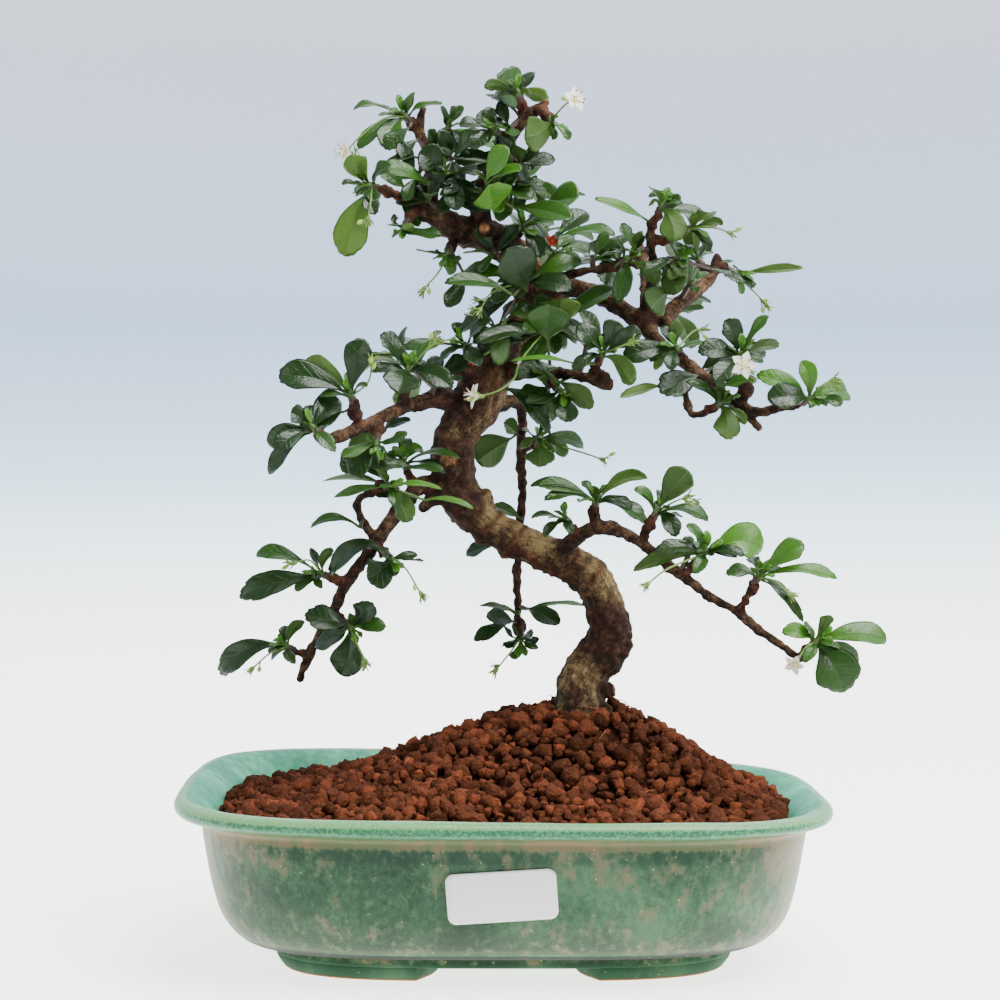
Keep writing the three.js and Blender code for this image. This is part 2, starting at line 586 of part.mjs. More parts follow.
    name: 'leaves_left_low', from: [-64.5, 126, -1], at: [-59.8, 122.6, -6],
    leaves: [[-75, 131, -7, 60, 0.45], [-46.5, 131.5, -5, 55, 0.42], [-43.5, 119, -4, 60, 0.42],
      [-63, 102.8, -6, 70, 0.55], [-73, 113.5, -12, 55, 0.45]],
    stalk: [[-55, 114, -7], [-52, 108, -9]],
  },
  {
    name: 'leaves_left_end', from: [-74, 109, 5], at: [-79, 112, 4],
    leaves: [[-109.5, 108, -4, 60, 0.45], [-81, 127, -4, 60, 0.5], [-90, 120, 7, 60, 0.45],
      [-79, 98, -8, 50, 0.45]],
    stalk: [[-88, 111, -6.5], [-95, 105, -7.5]],
  },
  {
    name: 'leaves_behind_top', from: [6.4, 186, 24], at: [10.8, 190.5, 17],
    leaves: [[-9, 195, 3, 75, 0.6], [10, 176, -6, 60, 0.5], [24, 184, -5, 70, 0.5],
      [32, 192, 2, 55, 0.45], [18, 203, 6, 50, 0.45]],
    stalk: [[25, 188, -5], [33, 185.5, -7], [37, 184, -8]],
  },
  {
    name: 'leaves_behind_low', from: [5.8, 125, 23], at: [6.2, 119.5, 21],
    leaves: [[-9.5, 128, -5, 60, 0.45], [-11, 114, -3, 50, 0.35], [19.5, 132.5, -4, 70, 0.5],
      [27, 120, 6, 60, 0.5], [-2, 137, 6, 50, 0.45]],
    stalk: [[3, 112, -4.5], [-3, 104.5, -6.5]],
  },
  {
    name: 'leaves_low_right_base', from: [34.1, 158.3, -15], at: [34.5, 166, -18],
    leaves: [[55, 179.5, -4, -50, 0.3], [23, 173, -6, 60, 0.45], [50, 166, -7, 60, 0.45],
      [55, 159, -11, 50, 0.42], [10, 178.5, -4, 55, 0.42], [12, 169, -9, 60, 0.35]],
  },
  {
    name: 'leaves_low_right_under', from: [28, 154.5, -10], at: [24.5, 160, -16],
    leaves: [[10, 162.5, -5, 40, 0.4], [14.5, 152, -5, 60, 0.5], [28, 150, -9, 60, 0.5]],
  },
  {
    name: 'leaves_low_right_arch', from: [52, 152.5, -29], at: [56.4, 162, -33],
    leaves: [[48.5, 176, -4, 70, 0.45], [70.5, 181, -5, -70, 0.5], [66.5, 151, -9, -60, 0.45],
      [79.5, 161.5, -4, 60, 0.42], [60, 176, 9, 40, 0.5]],
    stalk: [[64, 168, -7], [69, 170, -9]],
  },
  {
    name: 'leaves_low_right_middle', from: [68, 140, -39], at: [73.8, 146.6, -43],
    leaves: [[56.5, 153.5, -5, 60, 0.45], [50, 141.5, -7, -40, 0.45], [69, 161, -4, 70, 0.5],
      [97, 160.5, -3, 50, 0.42], [91.5, 147, -8, 60, 0.45], [70, 132, -10, 50, 0.45]],
    stalk: [[62, 143, -8], [54, 137, -9]],
  },
  {
    name: 'leaves_low_right_outer', from: [88.5, 126.4, -47], at: [94.5, 137.5, -50],
    leaves: [[113, 154, -3, 65, 0.45], [122.5, 142.5, -4, 50, 0.35], [82, 137, -7, 55, 0.45],
      [91, 151.5, 4, 60, 0.5], [106.5, 131, -9, 60, 0.5], [112, 125, -3, -50, 0.45]],
    stalk: [[102.5, 138, -8], [108, 133, -9]],
  },
  {
    name: 'leaves_low_right_end', from: [111.4, 109.1, -52], at: [115.4, 113.2, -54],
    leaves: [[104, 122, -6, 60, 0.45], [117.8, 128, -4, 60, 0.45], [144, 121.5, -3, 40, 0.38],
      [128, 97.5, -5, 75, 0.6], [112, 99, -8, 50, 0.45], [130, 110, 7, 50, 0.45]],
  },
  {
    name: 'leaves_back_crown', from: [4, 256, 20], at: [9, 261, 33],
    stem: [[14, 268, 46], [16, 276, 57]], whorl: 9,
  },
  {
    name: 'leaves_back_left', from: [-19, 208, 17], at: [-26, 212, 29],
    stem: [[-34, 218, 42], [-41, 226, 52]], whorl: 9,
  },
  {
    name: 'leaves_back_right', from: [51, 237, 20], at: [58, 238, 35],
    stem: [[66, 242, 49], [71, 250, 60]], whorl: 9,
  },
];

const up = new THREE.Vector3(0, 0, 1);
const towardViewer = new THREE.Vector3(0, -1, 0);

// A round bar through stations of place and radius, with rounded-off ends.
function bar(stations, sides) {
  const places = stations.map(({ at }) => at);
  const side = new THREE.Vector3(0.31, 0.9, 0.3);
  const rings = stations.map(({ at, radius }, k) => {
    const before = places[Math.max(k - 1, 0)];
    const after = places[Math.min(k + 1, places.length - 1)];
    const along = after.clone().sub(before).normalize();
    side.addScaledVector(along, -side.dot(along)).normalize();
    const across = along.clone().cross(side);
    return Array.from({ length: sides }, (_, i) => {
      const angle = i * 2 * Math.PI / sides;
      const spoke = side.clone().multiplyScalar(Math.cos(angle)).addScaledVector(across, Math.sin(angle));
      return at.clone().addScaledVector(spoke, radius);
    });
  });
  return skin(rings, places[0], places[places.length - 1]);
}

function limbStations(points) {
  return points.map(([x, z, depth, radius]) => ({ at: seen([x, z, depth]), radius }));
}

function rosetteAxis(rosette) {
  return seen(rosette.at).sub(seen(rosette.from)).normalize();
}

const woodBars = Object.entries(limbs).map(([name, points]) => ({
  stations: limbStations(points), sides: name === 'trunk' ? 7 : 4,
}));
knobs.forEach(([start, end, startRadius, endRadius]) => {
  woodBars.push({
    stations: [{ at: seen(start), radius: startRadius }, { at: seen(end), radius: endRadius }], sides: 4,
  });
});
rosettes.forEach((rosette) => {
  woodBars.push({
    stations: [
      { at: seen(rosette.from), radius: spurRadius }, { at: seen(rosette.at), radius: spurEndRadius },
    ],
    sides: 3,
  });
});

function makeWood() {
  const stump = upright(stumpRadius, stumpBottom, stumpTop, ...stumpPlace, 12);
  const wood = fuse([stump, ...woodBars.map(({ stations, sides }) => bar(stations, sides))]);
  addPart('wood', geometryOf(wood), colours.wood, 0.85);
}

// A leaf springs along its shoot, then bends over to its tip, with its face turned as told.
function leafFrame(root, axis, tip, face) {
  const reach = tip.clone().sub(root);
  const bend = root.clone().addScaledVector(axis, leafSpring).addScaledVector(reach, 0.45);
  const turn = face * Math.PI / 180;
  const facing = up.clone().multiplyScalar(Math.cos(turn)).addScaledVector(towardViewer, Math.sin(turn));
  const station = (share) => {
    const rest = 1 - share;
    const at = root.clone().multiplyScalar(rest * rest);
    at.addScaledVector(bend, 2 * rest * share).addScaledVector(tip, share * share);
    const along = bend.clone().sub(root).multiplyScalar(rest);
    along.addScaledVector(tip.clone().sub(bend), share).normalize();
    const across = along.clone().cross(facing).normalize();
    return { at, across, normal: across.clone().cross(along) };
  };
  return { station, length: reach.length() };
}

function leafPoint(leaf, share, side) {
  const { at, across, normal } = leaf.frame.station(share);
  return at.clone().addScaledVector(across, side).addScaledVector(normal, leafFold * Math.abs(side));
}

function leafBlade(leaf) {
  const half = leaf.frame.length * leaf.breadth / 2;
  const { station } = leaf.frame;
  const rows = leafOutline.map(([share, wide]) => {
    const { at, normal } = station(share);
    const keel = at.clone().addScaledVector(normal, -leafKeel);
    return [leafPoint(leaf, share, -half * wide), leafPoint(leaf, share, half * wide), keel];
  });
  return skin(rows, station(0).at, station(1).at);
}

// Every leaf is tried at a few depths, and takes the first that is clear of other rosettes and the wood.
const depthTries = [0, -3, 3, -6, 6, -9, 9, -12, 12, -15, 15];
const leafClearance = 3;
const woodClearance = 1.5;
const sampleShares = [0.3, 0.5, 0.7, 0.85, 1];
const sampleSides = [-0.85, 0, 0.85];

function segmentDistance(point, start, end, startRadius, endRadius) {
  const run = end.clone().sub(start);
  const share = THREE.MathUtils.clamp(point.clone().sub(start).dot(run) / run.lengthSq(), 0, 1);
  const gap = point.distanceTo(start.clone().addScaledVector(run, share));
  return gap - startRadius - (endRadius - startRadius) * share;
}

function woodDistance(point) {
  let nearest = Infinity;
  woodBars.forEach(({ stations }) => {
    for (let k = 0; k < stations.length - 1; k += 1) {
      const [low, high] = [stations[k], stations[k + 1]];
      nearest = Math.min(nearest, segmentDistance(point, low.at, high.at, low.radius, high.radius));
    }
  });
  return nearest;
}

function leafSamples(leaf) {
  const half = leaf.frame.length * leaf.breadth / 2;
  return sampleShares.flatMap((share) => {
    const wide = share === 1 ? [0] : sampleSides;
    return wide.map((side) => leafPoint(leaf, share, side * half));
  });
}

function leafRoom(samples, others) {
  let room = Infinity;
  samples.forEach((point) => {
    room = Math.min(room, woodDistance(point) - woodClearance);
    others.forEach((other) => {
      room = Math.min(room, point.distanceTo(other) - leafClearance);
    });
  });
  return room;
}

// The shoot that carries a rosette's leaves, and its leaves to come: where each starts, the way it
// springs, its tip for a step in depth, the turn of its face and its breadth.
const goldenAngle = Math.PI * (3 - Math.sqrt(5));
const drawStemLeaf = drawFrom(7);

function shootPlaces(rosette) {
  const axis = rosetteAxis(rosette);
  const start = seen(rosette.at).addScaledVector(axis, seat);
  const end = start.clone().addScaledVector(axis, shootLength);
  return rosette.stem ? [start, ...rosette.stem.map(seen)] : [start, end];
}

function rosetteRoot(rosette) {
  return seen(rosette.at).addScaledVector(rosetteAxis(rosette), leafRootPlace);
}

function drawnLeaves(rosette) {
  const axis = rosetteAxis(rosette);
  const root = rosetteRoot(rosette);
  return rosette.leaves.map(([x, z, out, face, breadth]) => {
    const tipAt = (step) => seen([x, z, rosette.at[2] + out + step]);
    return { root, axis, face, breadth: breadth * leafWiden, tipAt };
  });
}

function stemLeaves(rosette) {
  const places = shootPlaces(rosette);
  return Array.from({ length: rosette.whorl }, (_, k) => {
    const along = (k + 0.8) * (places.length - 1) / rosette.whorl;
    const segment = Math.min(Math.floor(along), places.length - 2);
    const root = places[segment].clone().lerp(places[segment + 1], Math.min(along - segment, 0.97));
    const axis = places[segment + 1].clone().sub(places[segment]).normalize();
    const side = axis.clone().cross(up).normalize();
    const over = side.clone().cross(axis);
    const reach = axis.clone().multiplyScalar(stemLeafLean);
    reach.addScaledVector(side, Math.cos(k * goldenAngle)).addScaledVector(over, Math.sin(k * goldenAngle));
    const tip = root.clone().add(reach.setLength(drawStemLeaf(stemLeafShort, stemLeafLong)));
    const tipAt = (step) => tip.clone().setY(tip.y + step);
    return { root, axis, face: 0, breadth: stemLeafBreadth * leafWiden, tipAt };
  });
}

const takenByLeaves = [];

function placeLeaves(rosette) {
  const own = [];
  const plans = rosette.stem ? stemLeaves(rosette) : drawnLeaves(rosette);
  const leaves = plans.map(({ root, axis, face, breadth, tipAt }) => {
    let best = null;
    for (const step of depthTries) {
      const tip = tipAt(step);
      const foot = root.clone().add(tip.clone().sub(root).setLength(leafRootReach));
      const leaf = { frame: leafFrame(foot, axis, tip, face), breadth };
      const samples = leafSamples(leaf);
      const room = leafRoom(samples, takenByLeaves);
      if (best === null || room > best.room) {
        best = { leaf, samples, room };
      }
      if (room >= 0) {
        break;
      }
    }
    own.push(...best.samples);
    return best.leaf;
  });
  takenByLeaves.push(...own);
  return leaves;
}

// A five-pointed calyx round the end of a stalk.
function calyx(at, along) {
  const side = up.clone().addScaledVector(along, -up.dot(along)).normalize();
  const across = along.clone().cross(side);
  const ring = Array.from({ length: 10 }, (_, i) => {
    const angle = i * Math.PI / 5;
    const radius = i % 2 ? calyxWaist : calyxRadius;
    const spoke = side.clone().multiplyScalar(Math.cos(angle)).addScaledVector(across, Math.sin(angle));
    return at.clone().addScaledVector(spoke, radius).addScaledVector(along, i % 2 ? 0.2 : 1);
  });
  const place = (out) => at.clone().addScaledVector(along, out);
  return skin([ring], place(-calyxHalfHeight), place(calyxHalfHeight));
}

function stalkPlaces({ at, stalk }) {
  return stalk.map(([x, z, out]) => seen([x, z, at[2] + out]));
}

function stalkPieces(rosette) {
  const places = [rosetteRoot(rosette), ...stalkPlaces(rosette)];
  const end = places[places.length - 1];
  const along = end.clone().sub(places[places.length - 2]).normalize();
  const stalk = bar(places.map((at) => ({ at, radius: stalkRadius })), 3);
  return [stalk, calyx(end, along)];
}

function makeRosettes() {
  rosettes.forEach((rosette) => {
    const places = shootPlaces(rosette);
    const radiusAt = (k) => shootRadius * (1 - shootTaper * k / (places.length - 1));
    const shoot = bar(places.map((at, k) => ({ at, radius: radiusAt(k) })), 5);
    const blades = placeLeaves(rosette).map(leafBlade);
    const stalks = rosette.stalk ? stalkPieces(rosette) : [];
    addPart(rosette.name, geometryOf(fuse([shoot, ...blades, ...stalks])), colours.leaf, 0.4);
  });
}

// A bloom: a plate with five lobes, facing the viewer in front of its calyx.
function bloomShape(radius) {
  const outline = [];
  for (let i = 0; i < 25; i += 1) {
    const reach = [0.36, 0.86, 1, 1, 0.86][i % 5];
    const angle = (Math.floor(i / 5) + [0, 0.22, 0.4, 0.6, 0.78][i % 5]) * 2 * Math.PI / 5;
    outline.push(new THREE.Vector2(radius * reach * Math.sin(angle), radius * reach * Math.cos(angle)));
  }
  return new THREE.Shape(outline);
}

function makeBloom(name, at) {
  const plate = { depth: bloomThickness, bevelEnabled: false };
  const petals = new THREE.ExtrudeGeometry(bloomShape(bloomRadius), plate);
  petals.rotateX(Math.PI / 2).translate(at.x, at.y, at.z);
  addPart(name, petals, colours.flower, 0.7);
}

function makeBlooms() {
  rosettes.filter(({ bloom }) => bloom).forEach((rosette) => {
    const at = stalkPlaces(rosette).pop();
    at.y -= bloomStandOff;
    makeBloom(rosette.bloom, at);
  });
}

makePot();
makeSoil();
makeScreens();
makeLabel();
makeWood();
makeRosettes();
makeBlooms();

// The origin is the middle of the box's base.
const bounds = new THREE.Box3().setFromObject(group);
const middle = bounds.getCenter(new THREE.Vector3());
group.position.set(-middle.x, -middle.y, -bounds.min.z);
group.updateMatrixWorld(true);

export default group;
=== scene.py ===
# A fukien tea bonsai in its glazed pot, dressed over the frame. The drawing is in millimetres.
import math

import bpy
import numpy as np
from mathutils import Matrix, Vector


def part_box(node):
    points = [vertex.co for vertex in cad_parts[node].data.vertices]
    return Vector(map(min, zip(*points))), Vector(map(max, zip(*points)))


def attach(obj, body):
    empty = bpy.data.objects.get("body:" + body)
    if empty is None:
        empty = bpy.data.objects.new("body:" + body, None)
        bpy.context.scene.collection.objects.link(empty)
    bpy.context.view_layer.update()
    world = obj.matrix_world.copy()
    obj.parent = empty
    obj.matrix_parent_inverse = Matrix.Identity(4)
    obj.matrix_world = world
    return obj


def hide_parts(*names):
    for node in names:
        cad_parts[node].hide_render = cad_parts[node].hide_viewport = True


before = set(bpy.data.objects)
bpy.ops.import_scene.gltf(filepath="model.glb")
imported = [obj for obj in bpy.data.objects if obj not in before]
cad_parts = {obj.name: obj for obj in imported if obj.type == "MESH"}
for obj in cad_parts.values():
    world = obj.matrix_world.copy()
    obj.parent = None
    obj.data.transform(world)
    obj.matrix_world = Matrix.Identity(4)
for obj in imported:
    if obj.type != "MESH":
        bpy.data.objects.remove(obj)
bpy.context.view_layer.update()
print("frame loaded:", len(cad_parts), "nodes")

# The drawing: the upright plane through the pot's middle, as an eye in front of it sees it.
drawing = {"eyeDistance": 900.0, "eyeHeight": 189.5, "seat": 0.3, "lightLevel": 2.2}
potLow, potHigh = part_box("pot")
middleX = (potLow.x + potHigh.x) / 2
drawnShift = (middleX * 1000, 0, 0)


def seen(points):
    # A drawn point (across, up, depth) moves along its line of sight: its offset from the eye's
    # axis grows as (distance + depth) / distance.
    rows = np.atleast_2d(np.asarray(points, float))
    reach = (drawing["eyeDistance"] + rows[:, 2]) / drawing["eyeDistance"]
    rise = drawing["eyeHeight"] + (rows[:, 1] - drawing["eyeHeight"]) * reach
    return np.stack([rows[:, 0] * reach, rows[:, 2], rise], axis=1)


def unit(rows):
    return rows / np.maximum(np.linalg.norm(rows, axis=-1, keepdims=True), 1e-9)


def drawFrom(seed):
    # Even draws: the state is multiplied by 1664525 and 1013904223 is added, modulo 2 to the 32.
    state = [seed]

    def draw(low, high):
        state[0] = (state[0] * 1664525 + 1013904223) % 4294967296
        return low + (high - low) * state[0] / 4294967296
    return draw


def noiseAt(points, size, seed=0):
    # Smooth noise from -1 to 1: hashed values at lattice corners, blended by 3t^2 - 2t^3.
    spot = np.asarray(points, float) / size
    base = np.floor(spot).astype(np.int64)
    part = spot - base
    part = part * part * (3 - 2 * part)
    total = np.zeros(len(spot))
    for corner in np.ndindex(2, 2, 2):
        cell = base + np.array(corner)
        mixed = cell[:, 0] * 73856093 ^ cell[:, 1] * 19349663 ^ cell[:, 2] * 83492791 ^ seed * 7919
        mixed = ((mixed ^ mixed >> 13) * 1274126177) & 0xFFFFFFFF
        mixed = ((mixed ^ mixed >> 15) * 2246822519) & 0xFFFFFFFF
        value = (mixed >> 8 & 0xFFFF) / 32767.5 - 1
        total += value * np.prod(np.where(corner, part, 1 - part), axis=1)
    return total


def fullTurn(count):
    return np.arange(count) * 2 * np.pi / count


def turned(radius, angle, height):
    # Points at a radius and an angle round the upright axis, at a height.
    return np.stack([radius * np.cos(angle), radius * np.sin(angle),
                     np.broadcast_to(height, np.broadcast(radius, angle).shape)], axis=-1)


def quadsOf(index, back=False):
    # Four-cornered faces over a grid of point numbers; back turns them over.
    corners = [index[:-1, :-1], index[:-1, 1:], index[1:, 1:], index[1:, :-1]]
    if back:
        corners = corners[:1] + corners[:0:-1]
    return np.stack(corners, axis=-1).reshape(-1, 4)


def roundFaces(rows, columns):
    # The faces of a grid whose last column joins the first.
    index = np.arange(rows * columns).reshape(rows, columns)
    return quadsOf(np.concatenate([index, index[:, :1]], axis=1))


def closedGrid(rings, start, end):
    # A skin through rings, with a point to close each end: rows of points and faces.
    rows, columns = rings.shape[:2]
    ring = np.arange(columns)
    after = np.roll(ring, -1)
    last = rows * columns
    fill = np.full(columns, -1)
    startFaces = np.stack([np.full(columns, last), after, ring, fill], axis=1)
    top = (rows - 1) * columns
    endFaces = np.stack([np.full(columns, last + 1), top + ring, top + after, fill], axis=1)
    points = np.concatenate([rings.reshape(-1, 3), [start], [end]])
    return points, np.concatenate([roundFaces(rows, columns), startFaces, endFaces])


def smoothPath(stations, perSpan=6):
    # A Catmull-Rom curve through the stations, each a row of place and radius.
    rows = np.asarray(stations, float)
    padded = np.concatenate([[2 * rows[0] - rows[1]], rows, [2 * rows[-1] - rows[-2]]])
    a, b, c, d = (padded[k:len(rows) - 1 + k, None] for k in range(4))
    t = np.linspace(0, 1, perSpan, endpoint=False)[None, :, None]
    curve = b + 0.5 * t * (c - a + t * (2 * a - 5 * b + 4 * c - d + t * (3 * (b - c) + d - a)))
    return np.concatenate([curve.reshape(-1, rows.shape[1]), rows[-1:]])


def tube(places, radii, sides):
    # Each ring's point is the place plus radius times (side cos a + across sin a). The side is
    # carried along the path and kept square to it. Both ends are rounded off.
    places = np.asarray(places, float)
    radii = np.broadcast_to(np.asarray(radii, float), len(places)).copy()
    heading = unit(np.gradient(places, axis=0))
    lead = [heading[0] * -radii[0], heading[-1] * radii[-1]]
    places = np.concatenate([[places[0] + lead[0] * 0.6], places, [places[-1] + lead[1] * 0.6]])
    heading = np.concatenate([heading[:1], heading, heading[-1:]])
    radii = np.concatenate([radii[:1] * 0.7, radii, radii[-1:] * 0.7])
    side = np.array([0.31, 0.9, 0.3])
    sideRows = []
    for along in heading:
        side = unit(side - along * side.dot(along))
        sideRows.append(side)
    side = np.array(sideRows)
    across = np.cross(heading, side)
    angle = fullTurn(sides)
    spokes = side[:, None] * np.cos(angle)[:, None] + across[:, None] * np.sin(angle)[:, None]
    rings = places[:, None] + spokes * radii[:, None, None]
    tips = places[0] - heading[0] * radii[0] * 0.4, places[-1] + heading[-1] * radii[-1] * 0.4
    return closedGrid(rings, *tips)


class Shell:
    # Grows one piece from parts: points in millimetres of the drawing, faces of up to four corners
    # (-1 fills a triangle), a finish number for each face and named values for each point.
    def __init__(self, *names):
        self.points, self.faces, self.finishes = [], [], []
        self.values = {name: [] for name in names}
        self.count = 0

    def add(self, points, faces, finish=0, **values):
        points = np.asarray(points, float).reshape(-1, 3)
        self.points.append(points)
        self.faces.append(np.where(faces < 0, -1, faces + self.count))
        self.finishes.append(np.broadcast_to(finish, len(faces)))
        for name, rows in self.values.items():
            value = np.asarray(values.get(name, 0), float)
            rows.append(np.broadcast_to(value.reshape(-1) if value.ndim else value, len(points)))
        self.count += len(points)

    def addTube(self, places, radii, sides, finish=0, **values):
        self.add(*tube(places, radii, sides), finish, **values)

    def addSheet(self, top, under, finishes, **values):
        # A closed sheet from two grids of points that share the rim of the first.
        inner = np.zeros(top.shape[:2], bool)
        inner[1:-1, 1:-1] = True
        index = np.arange(inner.size).reshape(inner.shape)
        below = index.copy()
        below[inner] = inner.size + np.arange(inner.sum())
        faces = np.concatenate([quadsOf(index), quadsOf(below, back=True)])
        for key, rows in values.items():
            rows = np.broadcast_to(rows, inner.shape)
            values[key] = np.concatenate([rows.ravel(), rows[inner]])
        self.add(np.concatenate([top.reshape(-1, 3), under[inner]]), faces,
                 np.repeat(finishes, len(faces) // 2), **values)

    def mesh(self, name):
        faces = np.concatenate(self.faces)
        points = np.concatenate(self.points) / 1000 + (middleX, 0, 0)
        return meshOf(name, points, faces, np.concatenate(self.finishes),
                      {key: np.concatenate(rows) for key, rows in self.values.items()})


def meshOf(name, points, faces, finishes, values):
    # Rows of points and faces go into a smooth mesh whole; -1 in a face is left out.
    used = faces >= 0
    sizes = used.sum(axis=1)
    data = bpy.data.meshes.new(name)
    data.vertices.add(len(points))
    setPlaces(data, points)
    data.loops.add(int(sizes.sum()))
    data.loops.foreach_set("vertex_index", faces[used].astype(np.int32))
    data.polygons.add(len(faces))
    starts = np.concatenate([[0], np.cumsum(sizes)[:-1]])
    data.polygons.foreach_set("loop_start", starts.astype(np.int32))
    data.polygons.foreach_set("material_index", np.asarray(finishes, np.int32))
    data.polygons.foreach_set("use_smooth", np.full(len(faces), True))
    for key, rows in values.items():
        setValue(data, key, rows)
    data.update(calc_edges=True)
    data.validate()
    return data


def setPlaces(data, points):
    data.vertices.foreach_set("co", points.astype(np.float32).ravel())


def setValue(data, name, rows):
    layer = data.attributes.get(name) or data.attributes.new(name, "FLOAT", "POINT")
    layer.data.foreach_set("value", np.asarray(rows, np.float32))


def vectorsOf(data, key):
    # Each point's place ("co") or normal ("normal").
    rows = np.zeros(len(data.vertices) * 3, np.float32)
    data.vertices.foreach_get(key, rows)
    return rows.reshape(-1, 3).astype(float)


def linked(name, data):
    thing = bpy.data.objects.new(name, data)
    bpy.context.scene.collection.objects.link(thing)
    return thing


def putPiece(name, data, materials, node):
    piece = linked(name, data)
    for material in materials:
        data.materials.append(material)
    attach(piece, "root")
    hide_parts(node)


def appliedMesh(data, kind, **settings):
    # The mesh after one modifier.
    helper = linked("helper", data)
    modifier = helper.modifiers.new(kind.lower(), kind)
    for key, value in settings.items():
        setattr(modifier, key, value)
    graph = bpy.context.evaluated_depsgraph_get()
    done = bpy.data.meshes.new_from_object(helper.evaluated_get(graph))
    bpy.data.objects.remove(helper)
    return done


def mathNode(operation):
    # A method that puts one Math node behind its wire.
    def apply(wire, *others):
        return wire.maker.node("Math", {"operation": operation}, dict(enumerate([wire, *others])))
    return apply


class Wire:
    # A socket whose operators add Math nodes to its material.
    __add__ = __radd__ = mathNode("ADD")
    __sub__ = mathNode("SUBTRACT")
    __mul__ = __rmul__ = mathNode("MULTIPLY")
    __abs__ = mathNode("ABSOLUTE")
    most = mathNode("MAXIMUM")
    part = mathNode("FRACT")

    def __init__(self, maker, socket):
        self.maker, self.socket = maker, socket

    def __rsub__(self, other):
        return self.maker.node("Math", {"operation": "SUBTRACT"}, {0: other, 1: self})

    def held(self):
        # Held between 0 and 1.
        return self.maker.node("Math", {"operation": "ADD", "use_clamp": True}, {0: self, 1: 0.0})

    def rise(self, low, high):
        # 0 below low, 1 above high, smooth between.
        return self.maker.node("MapRange", {"interpolation_type": "SMOOTHSTEP"}, {0: self, 1: low, 2: high})


class Maker:
    # One material: its tree, and the one method that adds nodes to it.
    def __init__(self, name):
        self.material = bpy.data.materials.new(name)
        self.material.use_nodes = True
        self.tree = self.material.node_tree
        self.tree.nodes.clear()

    def node(self, kind, settings=None, sockets=None, output=0):
        made = self.tree.nodes.new("ShaderNode" + kind)
        for key, value in (settings or {}).items():
            setattr(made, key, value)
        for key, value in (sockets or {}).items():
            if isinstance(value, Wire):
                self.tree.links.new(value.socket, made.inputs[key])
            else:
                made.inputs[key].default_value = value
        return Wire(self, made.outputs[output]) if made.outputs else made

    def place(self):
        return self.node("TexCoord", output="Object")

    def axis(self, number, at=None):
        return self.node("SeparateXYZ", {}, {0: at or self.place()}, number)

    def value(self, name):
        return self.node("Attribute", {"attribute_name": name}, output="Fac")

    def noise(self, size, detail=4.0, roughness=0.55, at=None, twist=0.0):
        # size is the length of one wave in millimetres
        sockets = {"Vector": at or self.place(), "Scale": 1000.0 / size, "Detail": detail,
                   "Roughness": roughness, "Distortion": twist}
        return self.node("TexNoise", {}, sockets)

    def cells(self, size, feature="F1", at=None):
        sockets = {"Vector": at or self.place(), "Scale": 1000.0 / size}
        return self.node("TexVoronoi", {"feature": feature}, sockets, "Distance")

    def mix(self, share, first, second):
        ends = [colour if isinstance(colour, Wire) else (*colour, 1.0) for colour in (first, second)]
        return self.node("Mix", {"data_type": "RGBA"}, {0: share, 6: ends[0], 7: ends[1]}, output=2)

    def ramp(self, share, *stops):
        wire = self.node("ValToRGB", {}, {0: share})
        elements = wire.socket.node.color_ramp.elements
        while len(elements) < len(stops):
            elements.new(1.0)
        for element, (place, colour) in zip(elements, stops):
            element.position = place
            element.color = (*colour, 1.0)
        return wire

    def bump(self, height, distance, strength=1.0):
        # distance in millimetres
        return self.node("Bump", {}, {"Height": height, "Distance": distance / 1000, "Strength": strength})

    def stretched(self, x, y, z):
        return self.node("Mapping", {}, {"Vector": self.place(), "Scale": (x, y, z)})

    def principled(self, **sockets):
        named = {key.replace("_", " "): value for key, value in sockets.items()}
        return self.node("BsdfPrincipled", {}, named)

    def done(self, shader):
        self.node("OutputMaterial", {}, {"Surface": shader})
        return self.material

    def finish(self, **sockets):
        return self.done(self.principled(**sockets))

    def leafy(self, share, glow, **sockets):
        # A surface that lets a share of the light through.
        through = self.node("BsdfTranslucent", {}, {"Color": glow})
        return self.done(self.node("MixShader", {}, {0: share, 1: self.principled(**sockets), 2: through}))


def shown(red, green, blue):
    # A colour as the picture shows it, 0 to 255, as light: 0.212 (v / (1 - v))^1.17.
    share = np.clip(np.array([red, green, blue]) / 255, 0.004, 0.98)
    return 0.212 * (share / (1 - share)) ** 1.17


def tint(red, green, blue, sheen=0.0, least=0.0):
    # The surface colour that shows so under the stage's light, less the light that its gloss adds.
    light = np.maximum(shown(red, green, blue) - sheen, least)
    return tuple(np.minimum(light / drawing["lightLevel"], 0.9))


# Camera and stage.
camera = {"pitch": 1.32, "lens": 86.1, "shift": -0.0037}
stage = {
    "floor": 1.3, "bend": 0.7, "wall": 3.2, "columns": 96, "glow": 0.2, "glowScale": 0.3, "sunk": 0.0002,
    "sky": [(0.0, (236, 237, 235)), (0.13, (214, 227, 232)), (0.32, (184, 208, 222)),
            (0.72, (202, 205, 213))],
}


def makeCamera():
    data = bpy.data.cameras.new("camera")
    data.lens = camera["lens"]
    data.shift_x = camera["shift"]
    eye = linked("camera", data)
    eye.location = (middleX, -drawing["eyeDistance"] / 1000, drawing["eyeHeight"] / 1000)
    eye.rotation_euler = (math.radians(90 - camera["pitch"]), 0, 0)
    bpy.context.scene.camera = eye


